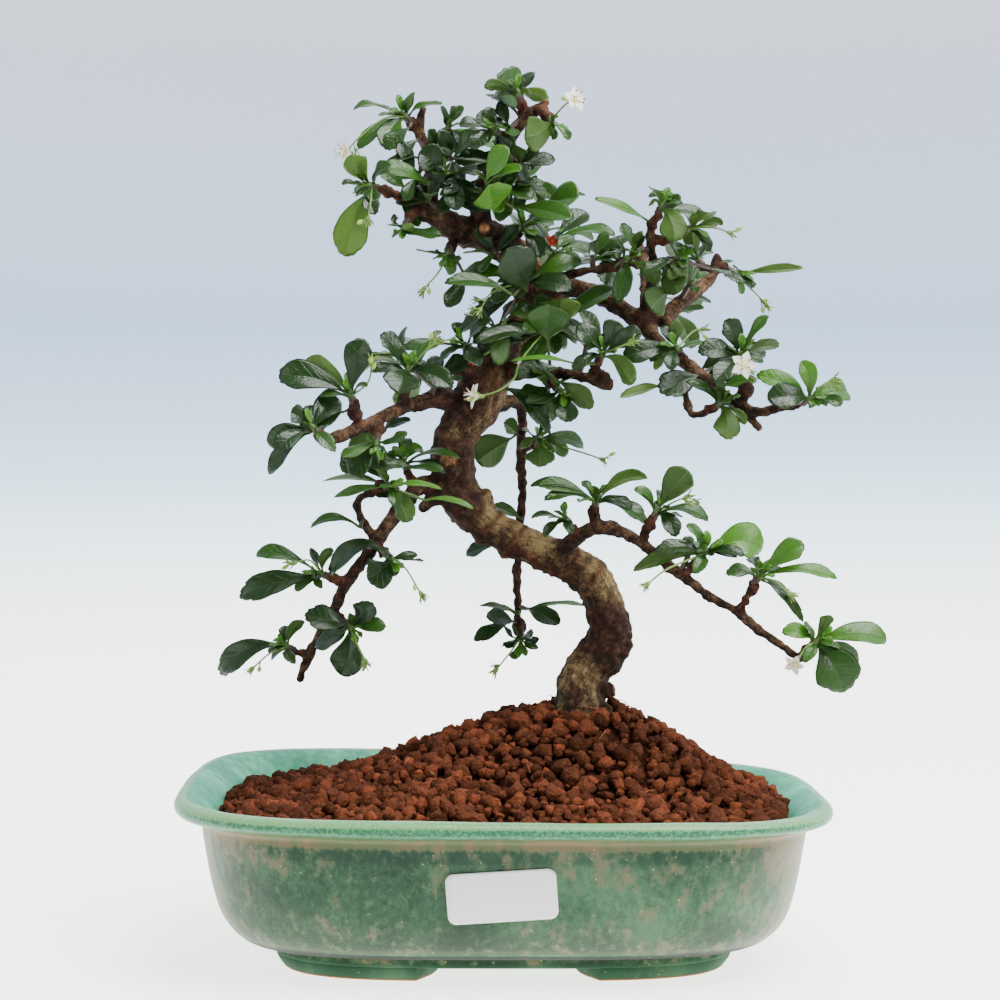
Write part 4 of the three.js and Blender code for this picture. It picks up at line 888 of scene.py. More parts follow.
# The plant as drawn. A limb's point is across, up, depth and radius.
limbs = {
    "trunk": [[29, 90, 0, 10.2], [28.6, 98, 2, 8.8], [32.3, 106, 4, 8.6], [37.9, 112.5, 4, 9],
        [40.1, 119.6, 4, 8.4], [38.3, 126.4, 4, 7.6], [36.4, 133, 3, 7.5], [31.9, 140.3, 2, 7.8],
        [20.6, 147, 0, 7], [5.6, 153.4, -2, 6.6], [-5.3, 159, -3, 6.6], [-12.5, 165, -4, 7.8],
        [-18.6, 175, -4, 8.6], [-19.1, 188.3, -3, 7.7], [-15.8, 195.8, -2, 8.3], [-11, 203, -1, 9],
        [-6.4, 214, 1, 9.2], [-1.5, 223.9, 3, 7.5], [6.8, 233.3, 5, 6.8], [11.6, 244.5, 6, 6.4],
        [8.5, 255.8, 6, 6.2], [1, 263.3, 5, 6.2], [-6, 268, 3, 6], [-16.5, 270.3, 0, 5.4],
        [-24, 274.9, -3, 4.6], [-30, 278.5, -5, 3.6], [-36, 283, -7, 2.6]],
    "crownLeft": [[-26, 276, -4, 3], [-27, 286, 2, 2.7], [-27, 295, 8, 2.5], [-28.5, 301.5, 12, 2.3],
        [-31.5, 306.4, 14, 2.1], [-30.4, 316, 15, 1.6]],
    "crownMiddle": [[-6, 268, 3, 3.8], [-9, 282, -4, 3.3], [0.4, 300.8, -12, 2.8], [4.1, 306.4, -15, 2.5],
        [8.6, 312.8, -17, 2.1], [16.1, 318, -18, 1.5]],
    "right": [[11.6, 244.5, 6, 5], [24.8, 248.3, 6, 3.8], [36, 245.3, 4, 3.4], [45.4, 240, 1, 3.3],
        [52.9, 234.4, -2, 3.7], [58.5, 227.6, -6, 2.8], [72, 217.5, -14, 2.6], [79.1, 211.1, -18, 2.5],
        [87, 204.8, -22, 2.1], [96.4, 195.8, -26, 1.6]],
    "rightUp": [[53, 236, -1, 2.8], [53.3, 248.3, 10, 2.4], [52.9, 257.6, 17, 2.2], [51, 263.3, 21, 2],
        [48, 268, 24, 1.7]],
    "rightInner": [[53.5, 240, -1, 2.6], [56.6, 255.8, -6, 2.3], [55.1, 263.3, -9, 2.1],
        [55.1, 273, -12, 1.7]],
    "rightOuter": [[53, 237, -1, 3.2], [60.4, 237.8, 2, 3.4], [66, 242.6, 8, 3.2], [73.5, 248.3, 15, 2.7],
        [79.1, 253.9, 20, 2.2], [79.9, 260.3, 23, 1.9]],
    "rightTwig": [[13, 249, 6, 2.4], [26.6, 254, -4, 1.8], [40.5, 256, -10, 1.4]],
    "rightTip": [[86, 205.5, -22, 2.2], [95.6, 201.8, -28, 2.1], [102.8, 203.3, -32, 1.9],
        [110, 204, -35, 1.6]],
    "rightHook": [[70, 218, -13, 1.8], [68.6, 209.6, -17, 1.5], [70.5, 201, -20, 1.5],
        [75.5, 201.5, -22, 1.8]],
    "middle": [[-4, 216, 2, 3.8], [13.5, 217.5, -10, 2.6], [32.3, 214.5, -20, 2.3],
        [37.8, 213.8, -22, 3.3]],
    "behind": [[-9, 204, 2, 3.4], [5.6, 205.1, 16, 2.3], [6.4, 186, 24, 2], [7.1, 175.1, 27, 1.9],
        [6.4, 162.4, 28, 1.8], [5.3, 144.4, 27, 1.7], [5.3, 133.1, 25, 1.6], [5.8, 124, 23, 1.6]],
    "leftUpper": [[-14, 205, 0, 4.2], [-27.4, 206.3, -10, 3.3], [-35.3, 204.4, -17, 2.9],
        [-43.5, 201, -24, 2.7], [-50.3, 197.6, -30, 2.4], [-59.3, 193.9, -37, 2.2],
        [-66.8, 190.5, -42, 2.3]],
    "leftLower": [[-20, 176, -4, 4.4], [-29.6, 174.8, -7, 3.4], [-34.9, 171, -9, 3.1],
        [-42.4, 161.6, -10, 2.8], [-47.6, 153.4, -10, 2.6], [-54.8, 143.3, -8, 2.4], [-60.8, 135, -5, 2.3],
        [-63.4, 128.3, -2, 2.2], [-69.8, 117, 2, 2], [-74.6, 108, 5, 1.8], [-76.9, 100.9, 7, 1.4]],
    "leftTwig": [[-47.6, 153.4, -10, 2], [-52.5, 159.4, -13, 1.9], [-55.2, 168, -17, 1.8],
        [-48.4, 172.5, -22, 1.7]],
    "lowerRight": [[20, 148, -1, 4], [25.9, 153.4, -8, 3], [34.1, 158.3, -15, 2.8], [41.3, 157.5, -21, 2.5],
        [49.5, 154.1, -27, 2.3], [57.8, 147.8, -33, 2.2], [66.4, 141, -38, 2], [78, 132, -43, 1.9],
        [88.5, 126.4, -47, 1.8], [96.8, 119.3, -50, 1.7], [107.3, 111.8, -52, 1.6],
        [111.4, 109.1, -52, 1.3]],
    "behindCrown": [[6, 252, 7, 3.6], [4, 256, 20, 2.6], [9, 261, 33, 2]],
    "behindLeft": [[-11, 203, 0, 3.6], [-19, 208, 17, 2.4], [-26, 212, 29, 2]],
    "behindRight": [[45.4, 240, 1, 2.8], [51, 237, 20, 2.2], [58, 238, 35, 1.8]],
}
# Burls, stubs and cut ends: both ends, then the radius at each.
knobs = [[[-19, 176, -4], [-20, 181, -12], 8.4, 3.6], [[-8, 163, -3], [-7, 170.5, -5], 5, 3.4],
    [[-6, 268, 3], [-7, 270.5, -7], 4.4, 3.2], [[61.1, 238, 2], [61.6, 234.6, -1], 3.2, 2.6],
    [[87, 205, -22], [91.5, 210, -24], 2.4, 3.2], [[37.5, 214, -22], [39.6, 212.6, -24], 3.6, 2.4],
    [[30, 96, 4], [40, 97, 3], 6, 3], [[-24, 171, -6], [-30.5, 166, -7], 3.4, 2],
    [[-38.5, 203, -20], [-37, 211, -22], 2.4, 2.2], [[-6, 214, 1], [-15, 219, -6], 6, 3.6],
]

# The leaf rosettes, each the piece leaves_NAME. "from" is its foot on the wood and "at" its middle.
# A leaf is its tip across, up and deeper than "at", its face in degrees towards the viewer, and its
# breadth as a share of its length. "own" tells by a leaf's number: the shift of its tip across and
# up, face, breadth, youth, arch, and in some the shift back. A sprig is its foot and its end, leaf
# count, reach and youth. A leaf in "single" stands on a stalk of its own: root, tip, face, breadth,
# youth and arch. A point in "stalk" is told as a leaf's tip is. A dried or young bloom in "small"
# is across, up, deeper than "at", size and dryness.
rosettes = {
    "crown_left_tip": {"from": [-31, 306, 14], "at": [-35, 310.5, 13], "youth": 0.62,
        "leaves": [[-57, 316, -4, 70, 0.3], [-34, 325, -5, 75, 0.55], [-23, 320, 6, 60, 0.5],
            [-55, 301.5, -8, 60, 0.45], [-43, 300.5, -13, 50, 0.5]],
        "own": {0: [0, 1.3, 25, 0.34, 0.5, 0.1], 1: [-0.5, -7.4, 75, 0.6, 0.45, 0],
            2: [0.1, -2, 35, 0.32, 0.55, 0], 3: [0.3, -0.4, 50, 0.3, 0.5, 0],
            4: [-1.4, 0.8, 70, 0.5, 0.5, 0]},
        "single": [[[-35.2, 308.6, -2], [-44.6, 300.8, -6], 60, 0.6, 0.25, 0]],
        "stalk": [[-44.6, 312, -8], [-54, 305, -12], [-59.3, 299, -14]], "bloom": "flower_far_left",
        "facing": [-0.75, -0.6, 0.05]},
    "crown_left_side": {"from": [-28.5, 301.5, 12], "at": [-23.5, 306, 9], "youth": 0.55,
        "leaves": [[-16, 318, -2, 75, 0.5], [-12, 298, -9, 55, 0.5], [-2, 301, -4, 65, 0.42],
            [-22, 297, -14, 60, 0.45]],
        "own": {0: [-1.3, -0.8, 60, 0.56, 0.3, 0.05], 1: [0, 0.4, 40, 0.44, 0, 0.1],
            3: [0, 1, 55, 0.5, 0.1, 0.05]},
        "sprigs": [[[-27, 287, 2], [-33, 290, -6], 6, 14, 0.25],
            [[-27, 295, 8], [-19, 297, -4], 6, 13, 0.1]],
        "single": [[[-19.9, 307.9, 3], [-11.6, 300.4, -4], 50, 0.5, 0, 0],
            [[-25.1, 300, -6], [-28.1, 307.5, -12], 55, 0.7, 0.05, 0],
            [[-32.2, 304.1, -2], [-39.8, 297.4, -8], 50, 0.5, 0.1, 0]]},
    "left_top": {"from": [-36, 282, -7], "at": [-47.3, 285.8, -16],
        "leaves": [[-60, 298.5, -4, -60, 0.45], [-44, 297, -8, 75, 0.6], [-63, 281, -9, 70, 0.6],
            [-64, 289, 4, 50, 0.45], [-58.5, 258.8, -8, 60, 0.5], [-46, 273, -12, 50, 0.5]],
        "own": {0: [3.3, -0.4, -60, 0.78, 0.78, 0.05], 1: [1.8, -1.6, 50, 0.55, 0.3, 0.05],
            2: [2.3, 7, 30, 0.36, 0.1, 0.05], 3: [8, -4.7, 60, 0.55, 0.72, 0],
            4: [-0.7, 1.2, -72, 0.46, 0.95, 0], 5: [-2, 3.2, 50, 0.45, 0.1, 0]},
        "single": [[[-44.2, 285.8, -8], [-55.9, 285, -13], 55, 0.55, 0.3, 0],
            [[-36, 285, -8], [-46.5, 292.9, -12], 60, 0.5, 0.5, 0]],
        "stalk": [[-50, 280, -12], [-51, 274, -14]]},
    "left_crook": {"from": [-27, 284, 1], "at": [-23.5, 288.5, -7],
        "leaves": [[-29.6, 299.5, -9, 60, 0.45], [-13, 285, -9, 70, 0.5], [-6, 292, -2, 55, 0.45],
            [-20, 277, -13, 65, 0.55]],
        "own": {0: [-2.2, -0.3, 75, 0.85, 0, 0], 1: [3, -5, 45, 0.5, 0, 0.08],
            2: [-2, 0, 40, 0.5, 0.1, 0.08], 3: [2.3, 0.7, 50, 0.5, 0, 0.05]},
        "sprigs": [[[-22, 273.5, -3], [-28, 281, -9], 6, 13, 0.05]],
        "single": [[[-28.5, 288, -14], [-45, 294.4, -24], 54, 0.46, 0.62, 0.05],
            [[-30, 297, -6], [-45.8, 295.9, -10], 30, 0.3, 0, 0.08],
            [[-19.5, 280.5, -14], [-5.6, 277.5, -20], 50, 0.42, 0, 0],
            [[-18.4, 285.8, -8], [-23.6, 276.4, -12], 50, 0.5, 0, 0],
            [[-39, 280.9, -4], [-31.5, 271.9, -6], 45, 0.5, 0.5, 0]]},
    "left_under": {"from": [-32, 279, -6], "at": [-36, 273.5, -11],
        "leaves": [[-47, 270, -6, -50, 0.45], [-41, 263, -8, -60, 0.5], [-27, 263, -8, -40, 0.5],
            [-33, 260, 7, 20, 0.5]],
        "own": {0: [5.8, 6.2, 40, 0.5, 0.1, 0], 1: [7, 9, -50, 0.6, 0.7, 0], 2: [4, 6, 40, 0.5, 0.4, 0],
            3: [1.9, 9.3, 20, 0.5, 0.3, 0]}},
    "left_hanging": {"from": [-18, 269, -1], "at": [-20.5, 263.5, -7],
        "leaves": [[-15, 248, -6, -60, 0.5], [-33, 257, -4, -10, 0.4], [-10, 254, -10, -40, 0.45]],
        "own": {0: [-2.7, 7.2, -70, 0.8, 0.4, 0], 1: [0, 7.1, 18, 0.25, 0.45, 0.1],
            2: [-6, 5.8, 40, 0.5, 0.3, 0]},
        "stalk": [[-24, 255, -4], [-30, 248, -5]]},
    "crown_top": {"from": [8.6, 312.8, -17], "at": [6.6, 318.2, -19],
        "leaves": [[-14, 327, -6, -75, 0.5], [15, 329, -2, -70, 0.6], [1, 330, -10, 60, 0.5],
            [-20, 318, 8, -50, 0.25], [23, 324, 8, 40, 0.45]],
        "own": {0: [6.3, -3.6, -72, 0.35, 0.4, 0.06], 1: [-4.7, -8.2, -70, 0.5, 0.5, 0],
            2: [0.8, -6.2, -70, 0.4, 0.4, 0.1], 3: [14.9, 1.9, 55, 0.5, 0.08, 0],
            4: [-6.4, -5.6, -50, 0.5, 0.95, 0]},
        "sprigs": [[[8.6, 312.8, -17], [2, 308, -20], 6, 12, 0.3]],
        "single": [[[7.1, 314.6, -6], [-1.9, 328.5, -14], 50, 1.05, 0.4, 0],
            [[6.4, 312.8, -6], [-6, 322.1, -10], 30, 0.25, 0.2, 0.05]]},
    "crown_right": {"from": [13, 316, -18], "at": [16.5, 312.4, -23], "youth": 0.5,
        "leaves": [[33, 302, -5, 70, 0.5], [26, 306, -13, -40, 0.5], [34, 312, 5, 50, 0.45],
            [20, 299, -5, 60, 0.45]],
        "own": {0: [-7.3, 2.1, 55, 0.36, 0.5, 0.08], 1: [-17.8, -1.1, -70, 0.8, 0.5, 0],
            2: [-12.6, -1.4, 30, 0.4, 0.4, 0], 3: [-2.1, 5.1, 50, 0.5, 0.3, 0]},
        "stalk": [[23, 317, -10], [26.5, 318.5, -15]], "bloom": "flower_crown",
        "facing": [0.5, -0.75, 0.3]},
    "crown_dark": {"from": [1.5, 302, -12], "at": [-2.4, 306.5, -20],
        "leaves": [[-13.9, 318, -5, 60, 0.45], [-17, 310, -8, 40, 0.4], [-13.5, 301, -11, 60, 0.5],
            [6, 290, -10, 70, 0.5], [9, 299, -12, 50, 0.5]],
        "own": {0: [8.9, -1.3, 55, 0.5, 0.05, 0.05], 1: [0, 0, 45, 0.5, 0.1, 0.05],
            2: [2, 0, 50, 0.55, 0.05, 0.05], 3: [0, 0, 65, 0.5, 0, 0, 22],
            4: [2.2, -8.9, 66, 0.34, 0.08, 0, 24]},
        "sprigs": [[[0, 300.8, -12], [6, 295, -18], 6, 13, 0.08]],
        "single": [[[1.5, 308.6, -8], [-10.1, 312.4, -14], 55, 0.6, 0, 0.05],
            [[1.9, 309, -8], [-2.2, 318, -12], 60, 0.6, 0.1, 0],
            [[3, 300.8, -4], [10.9, 293.2, -10], 60, 0.7, 0, 0],
            [[-1.5, 297, 6], [-18.4, 296.6, 4], 60, 0.5, 0, 0],
            [[0.4, 300, 6], [-9.4, 292.5, 4], 60, 0.7, 0, 0]]},
    "crown_bright": {"from": [-8.5, 280, -3], "at": [-5, 284, -13], "youth": 0.7,
        "leaves": [[3.5, 298, -7, -60, 0.3], [12, 293, -12, 60, 0.4], [-3, 268.5, -15, 60, 0.6],
            [11, 283, -14, 40, 0.5]],
        "own": {0: [-3.1, 2.3, -62, 0.54, 0.35, 0], 1: [-5.8, 1.7, 50, 0.36, 0.3, 0.05],
            2: [-1.8, 12, 62, 0.6, 0.7, 0], 3: [0, 0, 40, 0.5, 0.3, 0.05]},
        "sprigs": [[[-9, 282, -4], [-13, 286, -12], 6, 13, 0.15]],
        "single": [[[-3.8, 276.8, -24], [-5.2, 286.9, -34], 62, 1.15, 0.92, 0],
            [[-6.8, 288.4, -26], [0.8, 300.8, -34], 56, 0.66, 0.86, 0.04],
            [[-6, 288, -26], [6, 294.4, -34], 50, 0.42, 0.8, 0.1],
            [[3, 285.8, -8], [-1.9, 273.4, -12], 50, 0.55, 0.3, 0]]},
    "crown_notched": {"from": [-2, 297, -10], "at": [5, 291, -3], "youth": 0.7,
        "leaves": [[22, 290, 4, 70, 0.5], [28.1, 283, -5, 60, 0.5], [17, 299, 8, 50, 0.45],
            [4, 278, 5, 60, 0.5]],
        "own": {0: [-10, 0.7, 50, 0.5, 0.05, 0], 1: [-8.5, -0.2, 62, 0.5, 0.3, 0.05],
            2: [-5.8, 0.5, 45, 0.5, 0, 0], 3: [0, 0, 55, 0.5, 0.3, 0]},
        "sprigs": [[[2, 303, -13], [6, 288, -14], 6, 13, 0.3]],
        "single": [[[14.6, 279, -10], [27.4, 283.1, -22], 62, 0.82, 0.62, 0]]},
    "neck": {"from": [1, 264, 5], "at": [5.5, 269.5, -3],
        "leaves": [[27.5, 274, -6, 60, 0.4], [17, 280, -12, 70, 0.5], [14, 260, -12, 50, 0.5]],
        "own": {0: [-7.9, -1, 52, 0.45, 0.5, 0.1], 1: [0, 0, 60, 0.5, 0.5, 0.05],
            2: [0, 0, 45, 0.5, 0.05, 0.05]},
        "sprigs": [[[0, 264, 5], [-3, 262, -7], 5, 13, 0.2]],
        "single": [[[3.4, 278.6, -14], [25.9, 275.2, -28], 54, 0.4, 0.55, 0.04]]},
    "neck_right": {"from": [7, 260, 6], "at": [15.5, 264.5, 10],
        "leaves": [[40, 271, -6, 50, 0.4], [30, 263, -13, 60, 0.5], [31, 278, 6, 70, 0.5]],
        "own": {0: [1.3, 0.1, 45, 0.27, 0.62, 0.12]},
        "sprigs": [[[13, 250, 6], [19, 262, -4], 6, 14, 0.45]],
        "small": [[18, 266, -14, 4.2, 1]]},
    "heart": {"from": [11, 247, 5], "at": [8.5, 250, -6.5], "youth": 0.3,
        "leaves": [[0, 268, -6, 80, 0.62], [-17, 253.5, -8, 50, 0.4], [27, 260.5, -7, 70, 0.4],
            [27, 248, -12, 60, 0.4], [-5, 243, -14, 40, 0.5], [-19, 240, -4, 60, 0.42]],
        "own": {0: [3, -9.2, 76, 0.7, 0, 0], 1: [-1.4, 1.3, 48, 0.36, 0.55, 0.12],
            2: [2.5, -0.4, 54, 0.38, 0.62, 0.06], 3: [-0.9, 1.1, 55, 0.5, 0, 0.05],
            4: [0.3, 0.7, 45, 0.44, 0, 0.05], 5: [2.1, -7.4, 50, 0.3, 0, -0.06]},
        "single": [[[8.6, 247.1, -14], [2.2, 262.9, -26], 72, 0.84, 0, 0],
            [[-13.9, 251.6, -6], [-21.4, 241.5, -12], 60, 0.52, 0, 0],
            [[12, 231, -16], [-10.1, 230.2, -28], 45, 0.34, 0, 0.1],
            [[3.8, 245.6, -20], [-21.4, 252.8, -30], 50, 0.27, 0.45, 0.12]],
        "stalk": [[-4, 247, -15.5], [-9, 240, -17.5]]},
    "heart_low": {"from": [8, 234, 5], "at": [15.4, 234.2, -4],
        "leaves": [[41.5, 247, -4, 45, 0.3], [-2, 242, -12, 60, 0.42], [31, 239, -12, 75, 0.55],
            [-7, 227, -10, 60, 0.42], [7, 218, -13, 40, 0.5], [28, 228, -2, 50, 0.45]],
        "own": {0: [0, 2.8, 34, 0.42, 0.5, 0.06], 1: [1.6, 0, 50, 0.46, 0.55, 0.1],
            2: [-9.5, 5.4, -62, 1.15, 0.7, 0], 3: [-2.9, 0.6, 50, 0.44, 0, 0.06],
            4: [0, 2, 45, 0.5, 0.3, 0], 5: [0, 0, 45, 0.45, 0.5, 0]},
        "sprigs": [[[8, 236, 5], [17, 236, -6], 6, 14, 0.3]],
        "single": [[[16.5, 228, -18], [16.9, 242.2, -27], 58, 1, 0.5, 0]],

        "stalk": [[6.6, 221.5, -20], [4, 214.6, -23], [-1, 210.4, -25], [-6.5, 208.4, -24.6],
            [-10.9, 208, -24]],
        "bloom": "flower_middle", "facing": [-0.93, -0.35, 0.1], "small": [[-10.5, 221.5, -14, 2.4, 1]]},
    "burl": {"from": [-9, 219, 0], "at": [-13.5, 225.5, -10],
        "leaves": [[-18, 236, -5, 60, 0.5], [-5, 237, -8, 70, 0.5], [-3, 216, -11, 60, 0.5],
            [-24, 221, -6, 50, 0.45]],
        "own": {0: [0, 0, 45, 0.5, 0.2, 0], 1: [0, 0, 40, 0.5, 0.2, 0], 2: [-5.8, 3.6, 45, 0.45, 0.1, 0]},
        "sprigs": [[[-2, 225, 3], [-3, 234, -10], 6, 14, 0.1]],
        "single": [[[0.8, 238.5, -18], [-2.6, 218.6, -26], -50, 0.36, 0.15, 0]],
        "small": [[-23.2, 228.4, -12, 3.3, 1]]},
    "right_peak": {"from": [55, 270, -11], "at": [58, 276.5, -13], "youth": 0.45,
        "leaves": [[37, 284, -4, -65, 0.5], [73.5, 283, -4, -60, 0.5], [65.5, 264, -10, -70, 0.6],
            [49, 292, 8, 30, 0.45]],
        "own": {0: [16.7, -4.5, -35, 0.4, 0.62, 0.06], 1: [-6.6, -1.7, -40, 0.42, 0.5, 0.16],
            2: [-1, 1.5, -70, 0.62, 0.5, 0], 3: [6, -8, 20, 0.4, 0.55, 0.06]},
        "single": [[[66.8, 280.5, -8], [54.4, 284.2, -12], 40, 0.3, 0.35, 0.2],
            [[56.6, 272.2, -6], [35.2, 283.1, -17], 45, 0.22, 0.8, 0.02]]},
    "right_peak_outer": {"from": [56, 266, -9.5], "at": [67, 270, -14],
        "leaves": [[77, 281, -2, -60, 0.5], [86, 273.5, -5, -60, 0.45], [77, 262, -9, 60, 0.4],
            [70, 283, 12, 40, 0.5]],
        "own": {0: [0, -3, -50, 0.4, 0.5, 0.06], 1: [-3, 0, -40, 0.4, 0.5, 0.08],
            2: [0, 0, 50, 0.42, 0.1, 0], 3: [0, -6, 40, 0.5, 0.45, 0]},
        "single": [[[79.9, 271.9, -8], [62.6, 279, -12], 45, 0.36, 0.3, 0.14]],
        "stalk": [[79, 271, -15], [85, 269, -19]]},
    "right_round": {"from": [56.6, 255, -6], "at": [63, 258.5, -13], "youth": 0.5,
        "leaves": [[69.5, 241.5, -8, -70, 0.62], [60, 241, -8, -60, 0.55], [72, 265, -4, 70, 0.45],
            [49, 253, -10, 60, 0.5]],
        "own": {0: [-4.8, 11.4, -70, 0.9, 0.22, 0], 1: [1.5, 10, -66, 0.46, 0.3, 0],
            2: [-2, 0, 55, 0.45, 0.2, 0], 3: [2, 1, 40, 0.4, 0.2, 0.05]},
        "single": [[[59.2, 258, -12], [66, 246.4, -20], -65, 0.66, 0.2, 0],
            [[61.9, 247.9, -14], [54.8, 240.4, -20], -65, 1, 0.3, 0]]},
    "right_outer": {"from": [79.4, 257, 21.5], "at": [84.5, 255, 20], "youth": 0.55,
        "leaves": [[113, 257.5, -3, -55, 0.3], [100, 250.5, -7, 60, 0.4], [91, 264, 4, -40, 0.5]],
        "own": {0: [-1, 0, -45, 0.2, 0.62, 0.04], 1: [-7, -2, 50, 0.44, 0.1, 0],
            2: [-5, -7, -40, 0.5, 0.5, 0]},
        "stalk": [[92, 249, -5], [98, 243, -7]]},
    "right_outer_inside": {"from": [78, 252.5, 19], "at": [74.5, 257, 23],
        "leaves": [[71, 271.5, -6, -75, 0.62], [64, 264, -8, 55, 0.45], [66, 248, -10, 60, 0.5],
            [82, 268, 6, 40, 0.5]],
        "own": {0: [0, -1.5, -75, 0.64, 0.45, 0], 1: [0, 0, 50, 0.45, 0.05, 0.05],
            2: [0, 3, 45, 0.5, 0.5, 0], 3: [-3, -6, 40, 0.5, 0.5, 0]},
        "sprigs": [[[66, 242.6, 8], [70, 250, 2], 5, 12, 0.4]]},
    "right_inside": {"from": [52.9, 258, 17], "at": [46.5, 258, 23],
        "leaves": [[33, 267, -4, -60, 0.5], [28, 259, -8, 40, 0.45], [42, 244, -6, 60, 0.5],
            [38, 252, -13, 70, 0.42]],
        "sprigs": [[[55, 263, -9], [49, 262, -14], 5, 11, 0.4]],
        "single": [[[51.4, 267.8, -4], [37.1, 262.9, -8], 50, 0.36, 0.4, 0.1]]},
    "right_twig_end": {"from": [40, 256, -10], "at": [43.5, 258, -12],
        "leaves": [[58, 250, -8, -50, 0.5], [52, 268, -6, 60, 0.45], [42, 243, -7, 60, 0.45]],
        "sprigs": [[[34, 255, -7], [34, 260, -12], 5, 12, 0.2]]},
    "right_bend": {"from": [79, 212, -18], "at": [86.5, 221, -24],
        "leaves": [[82, 239, -5, 75, 0.6], [101, 238, -8, 60, 0.25], [100, 222, -12, 60, 0.45],
            [105, 229, 5, -50, 0.45], [70.5, 227, -8, 70, 0.6], [79, 210, -13, 60, 0.5]],
        "own": {0: [0.8, -2.7, 75, 0.62, 0, 0], 1: [-2.7, 0.5, 45, 0.26, 0.62, 0.1],
            2: [-2, 0.8, 30, 0.4, 0.1, 0], 3: [-2.2, -1.7, -50, 0.4, 0.1, 0],
            4: [2.5, -1.9, 60, 0.58, 0, 0], 5: [0, 3, 50, 0.5, 0.1, 0]},
        "single": [[[86.6, 221.2, 0], [97.9, 226.1, -4], 55, 0.6, 0.05, 0]],
        "stalk": [[88, 220, -16], [90, 219.4, -20]], "bloom": "flower_right",
        "facing": [-0.1, -0.97, 0.15]},
    "right_shoulder": {"from": [69, 220, -12], "at": [66, 224.5, -20],
        "leaves": [[61, 240, -4, -65, 0.55], [45, 222, -8, 75, 0.42], [57, 208, -11, 70, 0.55],
            [45, 209, -4, -50, 0.35]],
        "own": {0: [4.5, -4, -65, 0.62, 0.3, 0], 1: [0, 0.5, 66, 0.46, 0, 0.04],
            2: [5.8, 9.2, 62, 0.5, 0.05, 0], 3: [11.3, 8.6, -45, 0.4, 0.55, 0]},
        "single": [[[73.5, 216, -18], [58.9, 209.2, -28], 64, 0.62, 0, 0],
            [[60, 211.9, -18], [43.5, 207.8, -24], -45, 0.34, 0.75, 0],
            [[73.5, 217.5, -6], [87.4, 225, -12], 55, 0.5, 0.05, 0],
            [[75, 214.9, -4], [88.1, 217.9, -8], 60, 0.72, 0, 0]],
        "stalk": [[71, 232, 4], [75, 233, 5]]},
    "right_hook": {"from": [75.5, 201.5, -22], "at": [79, 203.5, -24],
        "leaves": [[85.5, 187.5, -6, -70, 0.66], [92, 194, -3, -50, 0.3], [70, 214, -7, 60, 0.35],
            [90, 208, -8, 50, 0.4], [79, 216, -8, 60, 0.35]],
        "own": {0: [-2.2, 3.6, -72, 0.62, 0.45, 0], 1: [-1, 3, -45, 0.36, 0.5, 0],
            2: [-1, 0, 50, 0.35, 0.3, 0], 3: [-2, 0, 40, 0.4, 0.4, 0], 4: [0, 0, 50, 0.36, 0.4, 0]},
        "single": [[[81, 211.5, -2], [95.2, 214.1, -6], 55, 0.45, 0.5, 0]]},
    "right_tip": {"from": [110, 204, -35], "at": [112.6, 205.5, -37], "youth": 0.75,
        "leaves": [[99, 211, -9, 75, 0.55], [112, 223, -6, 70, 0.6], [131.5, 208.5, -6, 65, 0.5],
            [126, 216, 5, 70, 0.55], [128.5, 202, 3, -50, 0.4], [97, 218, 2, 55, 0.4],
            [118, 195, -8, 50, 0.5]],
        "own": {0: [0.4, -3.4, 70, 0.62, 0, 0], 1: [0.1, -1.7, 72, 0.5, 0.78, 0],
            2: [-3.8, -3.6, 62, 0.42, 0.35, 0], 3: [4, -5.4, 66, 0.62, 0.7, 0],
            4: [-3, 3, -40, 0.4, 0.4, 0], 5: [-2, -1.2, 55, 0.42, 0.8, 0], 6: [-3, 8, 40, 0.5, 0.6, 0]},
        "single": [[[77.6, 255.8, -6], [91.1, 250.9, -8], 45, 0.32, 0.15, 0]],
        "stalk": [[120, 212, -6], [124, 214, -7]]},
    "middle_end": {"from": [33, 215, -20], "at": [36, 221.5, -24],
        "leaves": [[27, 235, -5, 80, 0.55], [42, 238, -6, 80, 0.62], [52, 229.5, -8, 70, 0.5],
            [49.5, 211, -7, -50, 0.45], [24, 219, -7, 60, 0.45], [29, 241, 6, 40, 0.28]],
        "own": {0: [0, -2.1, 56, 0.75, 0.1, 0], 1: [0.8, -2, 66, 0.68, 0, 0], 2: [-0.7, 2, 65, 0.5, 0, 0],
            3: [-0.4, 1, -55, 0.46, 0.5, 0], 4: [1.5, -1, 50, 0.44, 0.1, 0], 5: [0, 0, 40, 0.3, 0.2, 0]},
        "sprigs": [[[28, 216, -17], [31, 227, -16], 6, 14, 0.08]],
        "single": [[[30, 219.4, -28], [2.2, 223.5, -30], 22, 0.17, 0.8, 0.04]],
        "stalk": [[43, 226, -10], [48, 228.5, -13]]},
    "middle_under": {"from": [14, 217, -10], "at": [19.5, 211.5, -16],
        "leaves": [[33, 200, -5, -70, 0.55], [25, 197, -11, 65, 0.5], [3, 199, -6, 70, 0.5],
            [8, 206, -12, 50, 0.45], [13, 222, -12, 50, 0.4]],
        "own": {0: [-7.3, 6.8, 60, 0.55, 0.3, 0], 1: [-1.7, 1.7, 66, 0.66, 0, 0],
            2: [5, 6, 50, 0.4, 0.2, 0]},
        "sprigs": [[[13.5, 217.5, -10], [17, 211, -15], 6, 13, 0.4]],
        "single": [[[21, 218.6, -20], [3.8, 216.4, -24], 58, 0.48, 0, 0],
            [[-1.1, 210.8, -17], [18.8, 196.1, -26], 45, 0.3, 0.12, 0.22],
            [[20.2, 213.8, -20], [33.8, 203.6, -24], -58, 0.5, 0.35, 0]]},
    "left_limb_top": {"from": [-54, 196, -33], "at": [-56.6, 205.5, -37],
        "leaves": [[-85, 215, -4, 50, 0.4], [-52.5, 229.5, -4, -65, 0.5], [-66, 219, 6, -50, 0.5],
